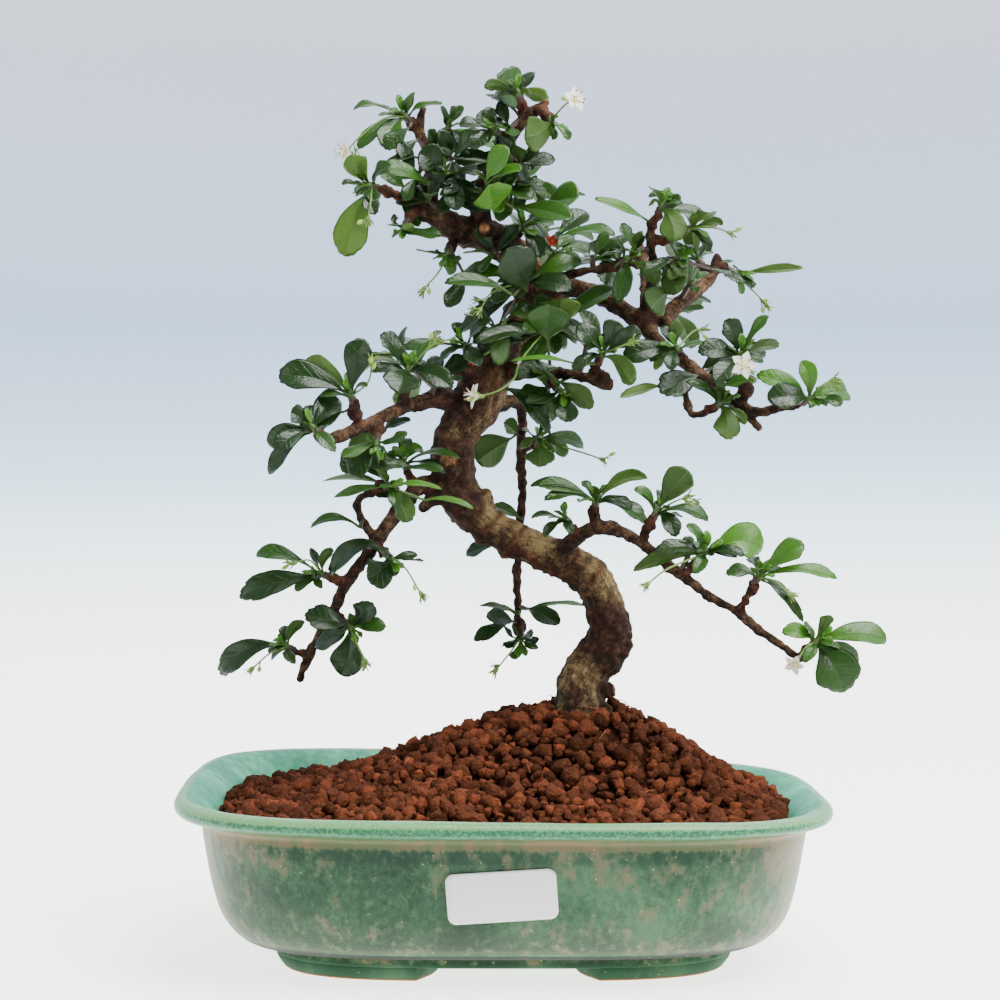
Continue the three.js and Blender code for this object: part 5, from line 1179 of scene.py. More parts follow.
            [-48, 216, -8, 50, 0.5]],
        "own": {0: [0, 1, 62, 0.46, 0.02, 0.08], 1: [0, 0, 66, 0.52, 0, 0],
            2: [-7, 2.4, -50, 0.42, 0.72, 0.05], 3: [-3, -4, 40, 0.4, 0.5, 0]},
        "stalk": [[-51, 213, -7], [-49.5, 221, -9]]},
    "left_limb_end": {"from": [-66.8, 190.5, -42], "at": [-69.5, 193.5, -44],
        "leaves": [[-78, 206, -5, 70, 0.6], [-89, 193, -4, 60, 0.45], [-84.5, 187.5, -11, 50, 0.45],
            [-87, 178, -2, -40, 0.35], [-61, 183, -8, 50, 0.45], [-70, 207, 8, 50, 0.5]],
        "own": {0: [-2, -4, 65, 0.75, 0, 0], 1: [0.5, -3.5, 60, 0.58, 0, 0], 2: [-1, 0, 55, 0.45, 0, 0],
            3: [-2.2, 0.6, 50, 0.3, 0.05, 0.05], 4: [-2, 4, 45, 0.5, 0.4, 0],
            5: [8.2, 0, 70, 0.62, 0.05, 0]},
        "single": [[[-59.5, 202.2, -36], [-76.5, 197.6, -44], 60, 0.66, 0, 0]]},
    "left_limb_base": {"from": [-37, 211, -22], "at": [-36.5, 214.5, -23],
        "leaves": [[-46, 231.5, -5, 75, 0.55], [-27, 229, -4, 75, 0.62], [-52, 220.5, -6, 60, 0.5],
            [-18, 218, -8, 60, 0.55], [-20, 232, 6, -40, 0.4], [-30, 209, -13, 50, 0.5]],
        "own": {0: [-0.1, -0.1, 48, 0.5, 0.05, 0], 1: [3.3, 0.1, 42, 0.3, 0.65, 0.05],
            2: [2.4, -3.3, 45, 0.45, 0.1, 0], 3: [-1.1, -6.3, 58, 0.5, 0.05, 0],
            4: [-8.3, -5.4, 35, 0.35, 0.3, 0], 5: [-9.4, -0.1, 70, 1, 0, 0]},
        "sprigs": [[[-27.4, 206.3, -10], [-25, 214, -15], 6, 13, 0.12]],
        "single": [[[-22.1, 227.6, -14], [-37.1, 226.5, -18], 50, 0.38, 0.45, 0.05]],
        "stalk": [[-31, 223, -10.5], [-26, 228.5, -12.5]]},
    "left_limb_under": {"from": [-46, 200, -26], "at": [-47.3, 193.5, -29], "youth": 0.42,
        "leaves": [[-36, 191, -7, 60, 0.45], [-61, 186.5, -10, 55, 0.42], [-57, 174.5, -4, -60, 0.5]],
        "own": {0: [-0.7, 3.5, 40, 0.5, 0.3, 0], 2: [-2, 6, 62, 0.85, 0.05, 0]},
        "single": [[[-44.6, 194.6, -16], [-58.5, 186.8, -18], -50, 0.6, 0.35, 0],
            [[-47.2, 194.6, -16], [-35.2, 199.5, -18], 40, 0.4, 0.2, 0]]},
    "left_fork": {"from": [-33, 172.5, -8], "at": [-36.5, 180.5, -12],
        "leaves": [[-53, 184.5, -5, 65, 0.45], [-42, 193, -5, 70, 0.5], [-30, 194, 4, 60, 0.45],
            [-19, 181, -9, 50, 0.42], [-16, 188, -6, 65, 0.45]],
        "own": {0: [3, -1.5, 55, 0.5, 0.35, 0], 1: [0.5, -5.5, 60, 0.6, 0.75, 0],
            2: [0, -5.5, 55, 0.55, 0.75, 0], 3: [-2.5, -1, 22, 0.4, 0.1, 0],
            4: [0, -1.5, 22, 0.3, 0.4, 0.05]},
        "single": [[[-48.8, 185.6, -2], [-61.1, 180, -6], 60, 0.85, 0, 0],
            [[-34.5, 181.5, -20], [-49.9, 182.2, -26], 50, 0.42, 0.3, 0],
            [[-37.5, 180.8, -20], [-22.5, 180.8, -24], 45, 0.3, 0.3, 0]]},
    "left_twig": {"from": [-48.4, 172.5, -22], "at": [-45.5, 173.6, -25], "youth": 0.45,
        "leaves": [[-55, 187, -6, 65, 0.5], [-69, 178, -5, 50, 0.4], [-66, 170.5, -8, 50, 0.4],
            [-36, 158, -10, -60, 0.45], [-41, 163, -12, 50, 0.45]],
        "own": {0: [1, 0, 60, 0.55, 0.1, 0], 1: [0, 0.2, 25, 0.22, 0.75, 0.05],
            2: [1.5, 0.4, 35, 0.3, 0.72, 0], 3: [0, 2, -60, 0.5, 0.4, 0], 4: [0, 3, 45, 0.45, 0.3, 0]},
        "single": [[[-53.6, 158.2, -20], [-73.9, 161.2, -22], 38, 0.26, 0.45, 0.24],
            [[-42, 174, -32], [-23.2, 174, -38], 30, 0.2, 0.85, 0.08],
            [[-30, 168.8, -24], [-10.9, 166.9, -28], 30, 0.2, 0.85, 0.1],
            [[-39.4, 173.2, -20], [-48, 170.2, -24], 55, 0.6, 0.05, 0]]},
    "left_elbow": {"from": [-49, 152, -10], "at": [-44.5, 148.5, -15],
        "leaves": [[-68, 155, -6, 60, 0.42], [-43, 131, -6, 70, 0.55], [-27, 147, -5, 50, 0.42],
            [-38, 158, -9, 60, 0.45]],
        "own": {0: [-1.7, -10.8, 50, 0.32, 0.05, 0.55], 1: [-8.5, 8.3, 72, 1.15, 0.03, 0],
            2: [-3, 0, 15, 0.24, 0.2, 0.05], 3: [-6.8, -6.7, 40, 0.4, 0.1, 0]},
        "stalk": [[-37, 143, -7], [-31, 133, -9]]},
    "left_drop": {"from": [-59, 137.5, -6], "at": [-66, 140, -9],
        "leaves": [[-91, 149, -3, 55, 0.42], [-99, 135, -6, 75, 0.5], [-63, 155, -5, 70, 0.5],
            [-72, 127, -9, 60, 0.45]],
        "own": {0: [-3.1, 1, 50, 0.26, 0.5, 0.2], 1: [-1.1, -2.2, 58, 0.36, 0, 0.02],
            2: [-1.2, -4.4, -60, 0.4, 0.3, 0], 3: [3.5, 8.5, 40, 0.4, 0.3, 0]},
        "stalk": [[-73, 146, -7], [-79, 145, -9]]},
    "left_low": {"from": [-64.5, 126, -1], "at": [-59.8, 122.6, -6],
        "leaves": [[-75, 131, -7, 60, 0.45], [-46.5, 131.5, -5, 55, 0.42], [-43.5, 119, -4, 60, 0.42],
            [-63, 102.8, -6, 70, 0.55], [-73, 113.5, -12, 55, 0.45]],
        "own": {0: [0, -4.8, 60, 0.62, 0.12, 0.05], 1: [-4.8, -0.6, 62, 0.85, 0.05, 0],
            2: [-1.1, 3.6, 55, 0.52, 0.6, 0.04], 3: [1.5, -0.4, 74, 0.68, 0.03, 0],
            4: [0, 0, 50, 0.6, 0.15, 0, 14]},
        "stalk": [[-55, 114, -7], [-52, 108, -9]]},
    "left_end": {"from": [-74, 109, 5], "at": [-79, 112, 4],
        "leaves": [[-109.5, 108, -4, 60, 0.45], [-81, 127, -4, 60, 0.5], [-90, 120, 7, 60, 0.45],
            [-79, 98, -8, 50, 0.45]],
        "own": {0: [0.7, -4.1, 58, 0.36, 0, 0.22], 1: [6, -3.6, -50, 0.42, 0.35, 0],
            2: [8, -5, 30, 0.4, 0.2, 0], 3: [0.5, 9, 40, 0.5, 0.3, 0]},
        "stalk": [[-88, 111, -6.5], [-95, 105, -7.5]]},
    "behind_top": {"from": [6.4, 186, 24], "at": [10.8, 190.5, 17], "youth": 0.4,
        "leaves": [[-9, 195, 3, 75, 0.6], [10, 176, -6, 60, 0.5], [24, 184, -5, 70, 0.5],
            [32, 192, 2, 55, 0.45], [18, 203, 6, 50, 0.45]],
        "own": {0: [15.2, -6.9, -60, 0.6, 0.4, 0], 1: [3.2, 5.2, -70, 1.1, 0.42, 0],
            2: [0, 1.5, 55, 0.5, 0.4, 0], 3: [-0.5, -2, 50, 0.4, 0.4, 0.05]},
        "single": [[[6.8, 161.6, 22], [-3.4, 167.2, 26], -50, 0.5, 0.35, 0],
            [[-2.6, 152.2, 12], [-14.6, 148.5, 16], 50, 0.5, 0.1, 0],
            [[3.4, 192.4, 18], [-10.5, 183.4, 16], -64, 0.84, 0.36, 0],
            [[6.4, 192.8, 24], [0.4, 198, 28], -60, 0.8, 0.42, 0]],
        "stalk": [[25, 188, -5], [33, 185.5, -7], [37, 184, -8]]},
    "behind_low": {"from": [5.8, 125, 23], "at": [6.2, 119.5, 21],
        "leaves": [[-9.5, 128, -5, 60, 0.45], [-11, 114, -3, 50, 0.35], [19.5, 132.5, -4, 70, 0.5],
            [27, 120, 6, 60, 0.5], [-2, 137, 6, 50, 0.45]],
        "own": {0: [10.1, -6.6, 30, 0.4, 0.2, 0], 1: [10.8, 1.1, 52, 0.5, 0.02, 0],
            2: [-6.5, -15.8, 56, 0.5, 0.03, 0.05], 3: [-17, 0.8, 30, 0.4, 0.1, 0.05],
            4: [5.9, -15.8, 30, 0.4, 0.4, 0]},
        "single": [[[5.6, 125.6, 20], [-9, 130.1, 16], 25, 0.24, 0.3, 0.06],
            [[5.6, 126.4, 22], [-3, 128.6, 18], 40, 0.34, 0.75, 0],
            [[4.5, 122.6, 18], [-6, 125.2, 10], 60, 0.56, 0, 0],
            [[3, 123, 18], [-11.2, 116.2, 12], 55, 0.36, 0, 0],
            [[7.5, 128.6, 20], [21, 122.2, 12], 52, 0.5, 0.05, 0],
            [[8.2, 127.5, 24], [30.4, 130.9, 24], 30, 0.15, 0.5, 0.05]],
        "stalk": [[3, 112, -4.5], [-3, 104.5, -6.5]]},
    "low_right_base": {"from": [34.1, 158.3, -15], "at": [34.5, 166, -18],
        "leaves": [[55, 179.5, -4, -50, 0.3], [23, 173, -6, 60, 0.45], [50, 166, -7, 60, 0.45],
            [55, 159, -11, 50, 0.42], [10, 178.5, -4, 55, 0.42], [12, 169, -9, 60, 0.35]],
        "own": {0: [-0.9, 0, -42, 0.36, 0.6, 0.1], 1: [-10.3, 2.4, 50, 0.3, 0.55, 0],
            2: [-1.4, 0, 40, 0.36, 0.05, 0.05], 3: [0, 1.5, 35, 0.36, 0.4, 0.08],
            4: [-0.2, -2.2, 35, 0.24, 0.25, 0.08], 5: [3, 0.5, 35, 0.3, 0.3, 0.04]}},
    "low_right_under": {"from": [28, 154.5, -10], "at": [24.5, 160, -16],
        "leaves": [[10, 162.5, -5, 40, 0.4], [14.5, 152, -5, 60, 0.5], [28, 150, -9, 60, 0.5]],
        "own": {0: [0, 0, 30, 0.3, 0.45, 0.06], 1: [0.3, 2.7, 45, 0.4, 0.1, 0],
            2: [-2, 6, 45, 0.5, 0.2, 0]}},
    "low_right_arch": {"from": [52, 152.5, -29], "at": [56.4, 162, -33],
        "leaves": [[48.5, 176, -4, 70, 0.45], [70.5, 181, -5, -70, 0.5], [66.5, 151, -9, -60, 0.45],
            [79.5, 161.5, -4, 60, 0.42], [60, 176, 9, 40, 0.5]],
        "own": {0: [0.7, -2.5, 50, 0.42, 0.62, 0], 1: [-1, -0.8, -66, 0.64, 0.3, 0],
            2: [-1.6, 3.8, 50, 0.56, 0.1, 0], 3: [-1.5, 0.5, 40, 0.36, 0.4, 0.08],
            4: [0, -3, 30, 0.4, 0.2, 0]},
        "stalk": [[64, 168, -7], [69, 170, -9]]},
    "low_right_middle": {"from": [68, 140, -39], "at": [73.8, 146.6, -43],
        "leaves": [[56.5, 153.5, -5, 60, 0.45], [50, 141.5, -7, -40, 0.45], [69, 161, -4, 70, 0.5],
            [97, 160.5, -3, 50, 0.42], [91.5, 147, -8, 60, 0.45], [70, 132, -10, 50, 0.45]],
        "own": {0: [0.1, -3.3, 45, 0.42, 0.15, 0.06], 1: [-0.5, 0.9, -40, 0.3, 0.35, 0.05, 14],
            2: [0, -1, 50, 0.36, 0.6, 0], 3: [1.9, -8.6, 58, 0.68, 0.85, 0.2],
            4: [-1, 1, 40, 0.36, 0.1, 0.06], 5: [1.6, 8.7, 45, 0.5, 0.5, 0]},
        "sprigs": [[[66.4, 141, -38], [70, 149, -41], 5, 10, 0.5]],
        "stalk": [[62, 143, -8], [54, 137, -9]]},
    "low_right_outer": {"from": [88.5, 126.4, -47], "at": [94.5, 137.5, -50], "youth": 0.45,
        "leaves": [[113, 154, -3, 65, 0.45], [122.5, 142.5, -4, 50, 0.35], [82, 137, -7, 55, 0.45],
            [91, 151.5, 4, 60, 0.5], [106.5, 131, -9, 60, 0.5], [112, 125, -3, -50, 0.45]],
        "own": {0: [0.2, -1.6, 60, 0.46, 0.7, 0.04], 1: [3.6, -1.8, 42, 0.22, 0.8, 0.06],
            2: [1.5, 3.8, 50, 0.55, 0.3, 0], 3: [0.5, -4, 40, 0.4, 0.1, 0], 4: [0.3, -0.3, 32, 0.32, 0, 0],
            5: [1, -2, -32, 0.26, 0.05, 0]},
        "stalk": [[102.5, 138, -8], [108, 133, -9]]},
    "low_right_end": {"from": [111.4, 109.1, -52], "at": [115.4, 113.2, -54], "youth": 0.5,
        "leaves": [[104, 122, -6, 60, 0.45], [117.8, 128, -4, 60, 0.45], [144, 121.5, -3, 40, 0.38],
            [128, 97.5, -5, 75, 0.6], [112, 99, -8, 50, 0.45], [130, 110, 7, 50, 0.45]],
        "own": {0: [0.9, -2.6, 55, 0.52, 0.8, 0.05], 1: [4, -2.2, -50, 0.5, 0.4, 0],
            2: [1.4, -3.6, 45, 0.42, 0.7, 0.08], 3: [0.2, -1.4, 76, 0.86, 0.3, 0],
            4: [1, 8, 45, 0.45, 0.6, 0], 5: [1.9, -6.9, 62, 0.6, 0.3, 0]},
        "small": [[110.2, 107.6, -7, 4.2, 0.15]]},
    "back_crown": {"from": [4, 256, 20], "at": [9, 261, 33], "stem": [[14, 268, 46], [16, 276, 57]],
        "whorl": 9},
    "back_left": {"from": [-19, 208, 17], "at": [-26, 212, 29], "stem": [[-34, 218, 42], [-41, 226, 52]],
        "whorl": 9,
        "own": {6: [4.4, -16.7, 30, 0.5, 0.2, 0], 1: [3.1, -5.1, 30, 0.5, 0.2, 0],
            8: [-2.2, -6.7, 30, 0.5, 0.2, 0]}},
    "back_right": {"from": [51, 237, 20], "at": [58, 238, 35], "stem": [[66, 242, 49], [71, 250, 60]],
        "whorl": 9,
        "own": {0: [-5.1, -0.4, 30, 0.4, 0.2, 0], 5: [-11.1, 1.8, 30, 0.4, 0.2, 0]}},
}

wood = {
    "voxel": 0.71, "stump": [29.0, 0.0, 11.2, 40.0, 91.0], "spurRadii": (1.7, 2.0), "smoothing": 4,
    "lumps": 0.1, "furrow": 0.5, "scaly": 0.85, "crumbs": 2.3, "grit": 0.42, "ringReach": 15,
    "ringWidth": 1.5, "cutReach": 3.6, "batch": 6000, "alongGrain": 0.14, "litFrom": (0.42, -0.25, 0.8),
    "rootTurns": (-2.6, 0.5, 2.2),
    "rings": [[38.8, 124, 4], [37.5, 129, 3], [33, 139.5, 2], [25.5, 145, 1], [15, 149.5, -1],
              [5.2, 153.8, -2], [-5.6, 159.6, -3], [-14, 167.5, -4], [-18, 190, -3], [-9.5, 206.5, 0],
              [-3, 220.5, 2.4], [9, 238, 5.4], [6, 259, 6]],
    "dark": [[[41, 117.5, 0], 10.5], [[38.6, 94.5, 0], 6], [[-19, 179, -9], 10], [[-17, 166, -9], 8],
             [[-18, 210, -6], 11], [[40, 213, -24], 5], [[91.5, 210, -24], 4], [[-57, 204, -34], 5],
             [[-67, 190, -42], 4], [[53, 236, -2], 4], [[27, 95.5, -8], 3], [[-3, 226, -4], 8],
             [[-10, 268, -3], 12]],
    "bright": [[[34, 137, -5], 7], [[29, 104, -7], 6], [[0, 204, -8], 6], [[13, 152, -7], 6],
               [[-3, 162, -8], 4]],
    "cuts": [[[-6, 268, 3], [-7, 270.5, -7.8]], [[-19, 176, -4], [-20.5, 183, -11]],
             [[78, 214, -15], [96.4, 195.8, -26]], [[28, 96, 4], [41, 97.5, 3]]],
}
upward, viewerward = np.array([0.0, 0.0, 1.0]), np.array([0.0, -1.0, 0.0])


def rosetteAxis(rosette):
    return unit(seen(rosette["at"])[0] - seen(rosette["from"])[0])


def woodBars():
    # Every stretch of wood as (places, radii): limbs, then knobs, then the spur of each rosette.
    bars = [(seen([row[:3] for row in rows]), np.array([row[3] for row in rows], float))
            for rows in limbs.values()]
    bars += [(seen([start, end]), np.array([first, last])) for start, end, first, last in knobs]
    bars += [(seen([rosette["from"], rosette["at"]]), np.array(wood["spurRadii"]))
             for rosette in rosettes.values()]
    return bars


# The wood's straight stretches: starts, ends, and the radii there.
bars = woodBars()
stretches = [np.concatenate([bar[side][cut] for bar in bars])
             for side in (0, 1) for cut in (slice(None, -1), slice(1, None))]


def nearestBar(points, starts, ends, startRadii, endRadii):
    # Distance from each point to each tapered stretch: to its axis, less its radius there.
    run = ends - starts
    share = np.einsum("psj,sj->ps", points[:, None] - starts, run) / (run * run).sum(axis=1)
    share = np.clip(share, 0, 1)
    gap = np.linalg.norm(points[:, None] - starts - share[..., None] * run, axis=2)
    return gap - startRadii - (endRadii - startRadii) * share


def smoothed(rows, edges, times):
    # Each point's row moves half way to the mean of its neighbours.
    count = np.bincount(edges.ravel(), minlength=len(rows))[:, None]
    for _ in range(times):
        total = np.zeros_like(rows)
        np.add.at(total, edges[:, 0], rows[edges[:, 1]])
        np.add.at(total, edges[:, 1], rows[edges[:, 0]])
        rows = rows * 0.5 + total / count * 0.5
    return rows


def barkFinish():
    maker = Maker("barkFinish")
    names = ("girth", "scaly", "scar", "cut", "lit", "worn", "dark", "furrowShade")
    girth, scaly, scar, cut, lit, worn, dark, furrowShade = (maker.value(name) for name in names)
    # the grain's own place: slow along the limb, true across it
    grainAt = maker.node("CombineXYZ", {}, {axis: maker.value("grain" + axis) for axis in "XYZ"})
    grain = maker.noise(1.6, 4, 0.6, at=grainAt)
    patch = maker.noise(10, 5, 0.62, twist=0.8)
    fleck = maker.noise(3.0, 5, 0.68)
    fine = maker.noise(0.8, 4, 0.6)
    # painted light and shade on old and young wood alike: pale olive where the bark faces the light and is
    # smooth, dark on the far side; dark and rusty in patches
    litAndWeathered = lit * 0.8 - 0.08 + worn * 0.2 + (patch - 0.5) * 1.3 + (fleck - 0.5) * 1.7
    litAndWeathered = (litAndWeathered + (grain - 0.5) * 0.8 + (fine - 0.5) * 0.9).held()
    old = maker.ramp(litAndWeathered, (0.1, tint(44, 26, 16)), (0.3, tint(84, 54, 32)), (0.46, tint(120, 92, 56)),
                     (0.66, tint(152, 130, 88)), (0.95, tint(184, 166, 122)))
    young = maker.ramp((lit * 0.6 + (fleck - 0.5) * 1.6 + (fine - 0.5) * 0.8 + 0.02).held(),
                       (0.15, tint(46, 27, 18)), (0.4, tint(94, 64, 44)), (0.65, tint(148, 115, 82)),
                       (0.9, tint(184, 158, 122)))
    colour = maker.mix(girth.rise(0.3, 0.6), young, old)
    ruddy = maker.ramp(fleck, (0.34, tint(54, 20, 12)), (0.5, tint(104, 46, 28)), (0.66, tint(146, 84, 56)))
    rusty = (scar * 0.95).most(scaly * fleck.rise(0.35, 0.6) * 0.8)
    rusty = rusty.most(patch.rise(0.55, 0.64) * (1 - worn * 0.6) * 0.6 * girth.rise(0.3, 0.6))
    colour = maker.mix(rusty, colour, ruddy)
    moss = (1 - patch).rise(0.5, 0.6) * grain.rise(0.42, 0.6) * girth.rise(0.4, 0.7) * 0.4
    colour = maker.mix(moss, colour, tint(92, 92, 44))
    # dark red-brown on the dark spots, and painted shade on the wood behind the trunk
    burl = maker.ramp(fleck, (0.36, tint(34, 17, 11)), (0.52, tint(78, 43, 29)), (0.7, tint(132, 84, 62)))
    colour = maker.mix((dark * 1.3 + (fleck - 0.5) * 1.2).rise(0.4, 0.8) * 0.9, colour, burl)
    # painted shade: the furrows between the bark's ridges are darkened
    colour = maker.mix(furrowShade * 0.7, colour, tint(30, 18, 12))
    rays = maker.mix(maker.cells(1.8).rise(0.1, 0.6), tint(146, 108, 72), tint(200, 168, 124))
    colour = maker.mix(cut * 0.85, colour, rays)
    cracks = maker.cells(2.4, "DISTANCE_TO_EDGE", at=grainAt).rise(0.0, 0.14)
    height = fleck * 0.6 + fine * 0.35 + patch * 0.3 + grain * 0.45 + cracks * 0.25
    return maker.finish(Base_Color=colour, Roughness=0.92 - girth * 0.1, Specular_IOR_Level=0.18,
                        Normal=maker.bump(height, 1.1, 0.9))


def rawWood():
    # One skin round all the bars, the stump in the soil and the roots: its mesh, points and edges.
    shell = Shell()
    for places, radii in bars:
        rows = smoothPath(np.column_stack([places, radii]), 5 if len(places) > 2 else 3)
        shell.addTube(rows[:, :3], rows[:, 3], 14 if radii.max() > 4 else 10)
    x, y, radius, low, high = wood["stump"]
    shell.addTube([(x, y, low + 4), (x, y, (low + high) / 2), (x, y, high - 4)], radius, 24)
    # a few short surface roots dip from the foot into the soil
    for turn in wood["rootTurns"]:
        heading = np.array([math.cos(turn), math.sin(turn)])
        spots = np.array([x, y]) + heading * np.linspace(4, 14, 5)[:, None]
        rise = np.linspace(1.5, -5.0, 5) + soilHeight(*spots.T) - 1.0
        shell.addTube(np.column_stack([spots, rise]), np.linspace(4.2, 1.8, 5), 10)
    data = appliedMesh(shell.mesh("rawWood"), "REMESH", mode="VOXEL", voxel_size=wood["voxel"] / 1000)
    edges = np.zeros(len(data.edges) * 2, np.int32)
    data.edges.foreach_get("vertices", edges)
    edges = edges.reshape(-1, 2)
    points = smoothed(vectorsOf(data, "co") * 1000 - drawnShift, edges, wood["smoothing"])
    setPlaces(data, points)
    data.update()
    return data, points, edges


def woodGrain(points, edges):
    # From the nearest bar: its radius in centimetres, whether it is a scaly spur, and the place
    # along and across it.
    girth, scaly, grain = np.zeros(len(points)), np.zeros(len(points)), np.zeros((len(points), 3))
    starts, ends, startRadii, endRadii = stretches
    spurs = len(starts) - len(rosettes)
    runs = [np.cumsum(np.linalg.norm(np.diff(places[:-1], axis=0), axis=1)) for places, _ in bars]
    runs = np.concatenate([[0, *run] for run in runs])
    heading = unit(ends - starts)
    side = unit(np.cross(heading, viewerward + 0.01))
    over = np.cross(heading, side)
    for start in range(0, len(points), wood["batch"]):
        part = slice(start, start + wood["batch"])
        near = nearestBar(points[part], *stretches).argmin(axis=1)
        girth[part] = np.maximum(startRadii[near], endRadii[near]) / 10
        scaly[part] = near >= spurs
        offset = points[part] - starts[near]
        along, across, out = ((offset * way[near]).sum(axis=1) for way in (heading, side, over))
        grain[part] = np.stack([(runs[near] + along) * wood["alongGrain"], across, out], axis=1)
    # the trunk's foot is thick
    girth[points[:, 2] < 95] = 1.0
    girth, scaly = (smoothed(rows[:, None], edges, 6)[:, 0] for rows in (girth, scaly))
    return girth, scaly, smoothed(grain, edges, 3)


def ringScars(points):
    # A ridge round the limb at each ring's place: exp(-(distance along the limb / width)^2).
    scar = np.zeros(len(points))
    for place in wood["rings"]:
        at = seen(place)[0]
        order = np.argmin(np.linalg.norm(stretches[0] - at, axis=1))
        along = unit(stretches[1][order] - stretches[0][order])
        far = (points - at) @ along + noiseAt(points, 6, 5) * 1.8
        close = np.linalg.norm(points - at, axis=1) < wood["ringReach"]
        scar = np.maximum(scar, np.exp(-(far / wood["ringWidth"]) ** 2) * close)
    return np.clip(scar * (0.9 + 0.5 * noiseAt(points, 5, 8)), 0, 1)


def spotsOn(points, rows):
    # Full within each place's reach, fading out beyond it with an uneven edge.
    spread = np.zeros(len(points))
    for place, reach in rows:
        far = np.linalg.norm(points - seen([place])[0], axis=1) / reach + noiseAt(points, 5, 9) * 0.25
        spread = np.maximum(spread, np.clip(1.6 - far, 0, 1))
    return spread


def cutFaces(points, normals):
    # The flat ends of sawn stubs, which face the way that the stub runs.
    cut = np.zeros(len(points))
    for start, end in wood["cuts"]:
        first, last = seen([start, end])
        close = np.linalg.norm(points - last, axis=1) < wood["cutReach"]
        cut = np.maximum(cut, close * np.clip(normals @ unit(last - first) * 4 - 2.6, 0, 1))
    return cut


def makeWood():
    data, points, edges = rawWood()
    normals = vectorsOf(data, "normal")
    girth, scaly, grain = woodGrain(points, edges)
    # painted light: lit is how far each point faces the light, with some noise; it makes the bark pale on
    # that side and dark on the other
    lit = normals @ unit(np.array(wood["litFrom"]))
    lit = np.clip(0.5 + 0.5 * lit + 0.25 * noiseAt(points, 7, 31), 0, 1)
    scar, cut = ringScars(points), cutFaces(points, normals)
    dark, worn = spotsOn(points, wood["dark"]), spotsOn(points, wood["bright"])
    # painted shade: all wood deeper than 15 mm, such as the twig that hangs behind, is dark all along
    dark = np.maximum(dark, np.clip((points[:, 1] - 15) / 5, 0, 0.8))
    # relief: lumps, furrows along the grain, scales on young and shaded wood, crumbs, knots and grit
    radius = girth * 10
    lump = noiseAt(points, 8.5, 21) * radius * wood["lumps"] + noiseAt(points, 4.2, 22) * radius * 0.035
    ridge = (np.abs(noiseAt(grain, 1.5, 23)) - 0.3) * wood["furrow"] * np.clip(girth, 0.3, 1)
    shade = np.clip(np.maximum(1.1 - lit * 1.6, dark), 0, 1)
    crumbs = np.clip(noiseAt(points, 3.0, 27) - 0.1, 0, 1) * wood["crumbs"] * shade
    crumbs = crumbs * np.clip(girth * 1.6, 0.3, 1)
    young = np.clip(1.3 - girth * 3, 0, 1)
    scales = noiseAt(points, 1.9, 24) * (wood["scaly"] * scaly + 0.4 * shade + 0.3 * young)
    scales = scales + noiseAt(points, 1.5, 25) * 0.16
    knots = np.clip(noiseAt(points, 5.0, 26) - 0.3, 0, 1) * 2.6 * np.clip(1.1 - girth, 0.2, 0.6)
    grit = noiseAt(points, 1.9, 28) * wood["grit"] * np.clip(girth * 1.4, 0.4, 1)
    out = (lump + ridge + scales + knots + crumbs + grit + scar * 0.35) * (1 - cut * 0.9) - 0.1
    points = points + normals * out[:, None]
    setPlaces(data, (points + drawnShift) / 1000)
    data.polygons.foreach_set("use_smooth", np.full(len(data.polygons), True))
    # painted shade where the bark's ridges sink into furrows
    furrowShade = np.clip(-(ridge + noiseAt(points, 1.5, 25) * 0.14) * 3.2, 0, 1)
    values = {"girth": girth, "scaly": scaly, "scar": scar, "cut": cut, "dark": dark, "worn": worn,
              "furrowShade": furrowShade, "lit": lit, "grainX": grain[:, 0] / 1000, "grainY": grain[:, 1] / 1000,
              "grainZ": grain[:, 2] / 1000}
    for name, rows in values.items():
        setValue(data, name, rows)
    data.update()
    putPiece("wood_bark", data, [barkFinish()], "wood")
    return len(data.polygons)


print("wood made:", makeWood(), "faces")

# Leaves take the frame's own places: the same shoots, springs, tips and tries in depth.
leaf = {
    "spring": 4.0, "fold": 0.22, "widen": 1.2, "rootReach": 0.8, "rootPlace": 2.6, "youth": 0.26,
    "tries": [0, -3, 3, -6, 6, -9, 9, -12, 12, -15, 15], "clearance": 3.0, "woodClearance": 1.5,
    "shootRadius": 1.7, "shootSides": 9, "shootLength": 4.2, "stemLeaf": (18, 25), "stemBreadth": 0.52,
    "stemLean": 0.5, "fillers": 4, "budLeaves": 3, "thickness": 0.3, "widest": 0.76,
    # rows and columns of a blade, from the large leaves to the smallest
    "grids": {"full": (17, 17), "sprig": (13, 11), "filler": (11, 9), "bud": (8, 7)},
}
finishNumbers = {"top": 0, "under": 1, "shoot": 2, "stalk": 3, "petal": 4}


def facingOf(face):
    # The way that a leaf faces: turned from upright towards the viewer by an angle in degrees.
    turn = math.radians(face)
    return upward * math.cos(turn) + viewerward * math.sin(turn)


def leafForm(root, axis, tip, face):
    # Three points of a bend: the root, a point up the shoot and part of the way out, and the tip.
    reach = tip - root
    bend = root + axis * leaf["spring"] + reach * 0.45
    return {"root": root, "bend": bend, "tip": tip, "facing": facingOf(face), "face": face,
            "length": np.linalg.norm(reach)}


def leafStations(form, shares):
    # (1-s)^2 root + 2s(1-s) bend + s^2 tip, with the way across and the normal there.
    s = np.asarray(shares, float)[..., None]
    at = form["root"] * (1 - s) ** 2 + form["bend"] * 2 * s * (1 - s) + form["tip"] * s * s
    along = unit((form["bend"] - form["root"]) * (1 - s) + (form["tip"] - form["bend"]) * s)
    across = unit(np.cross(along, form["facing"]))
    return at, across, np.cross(across, along)


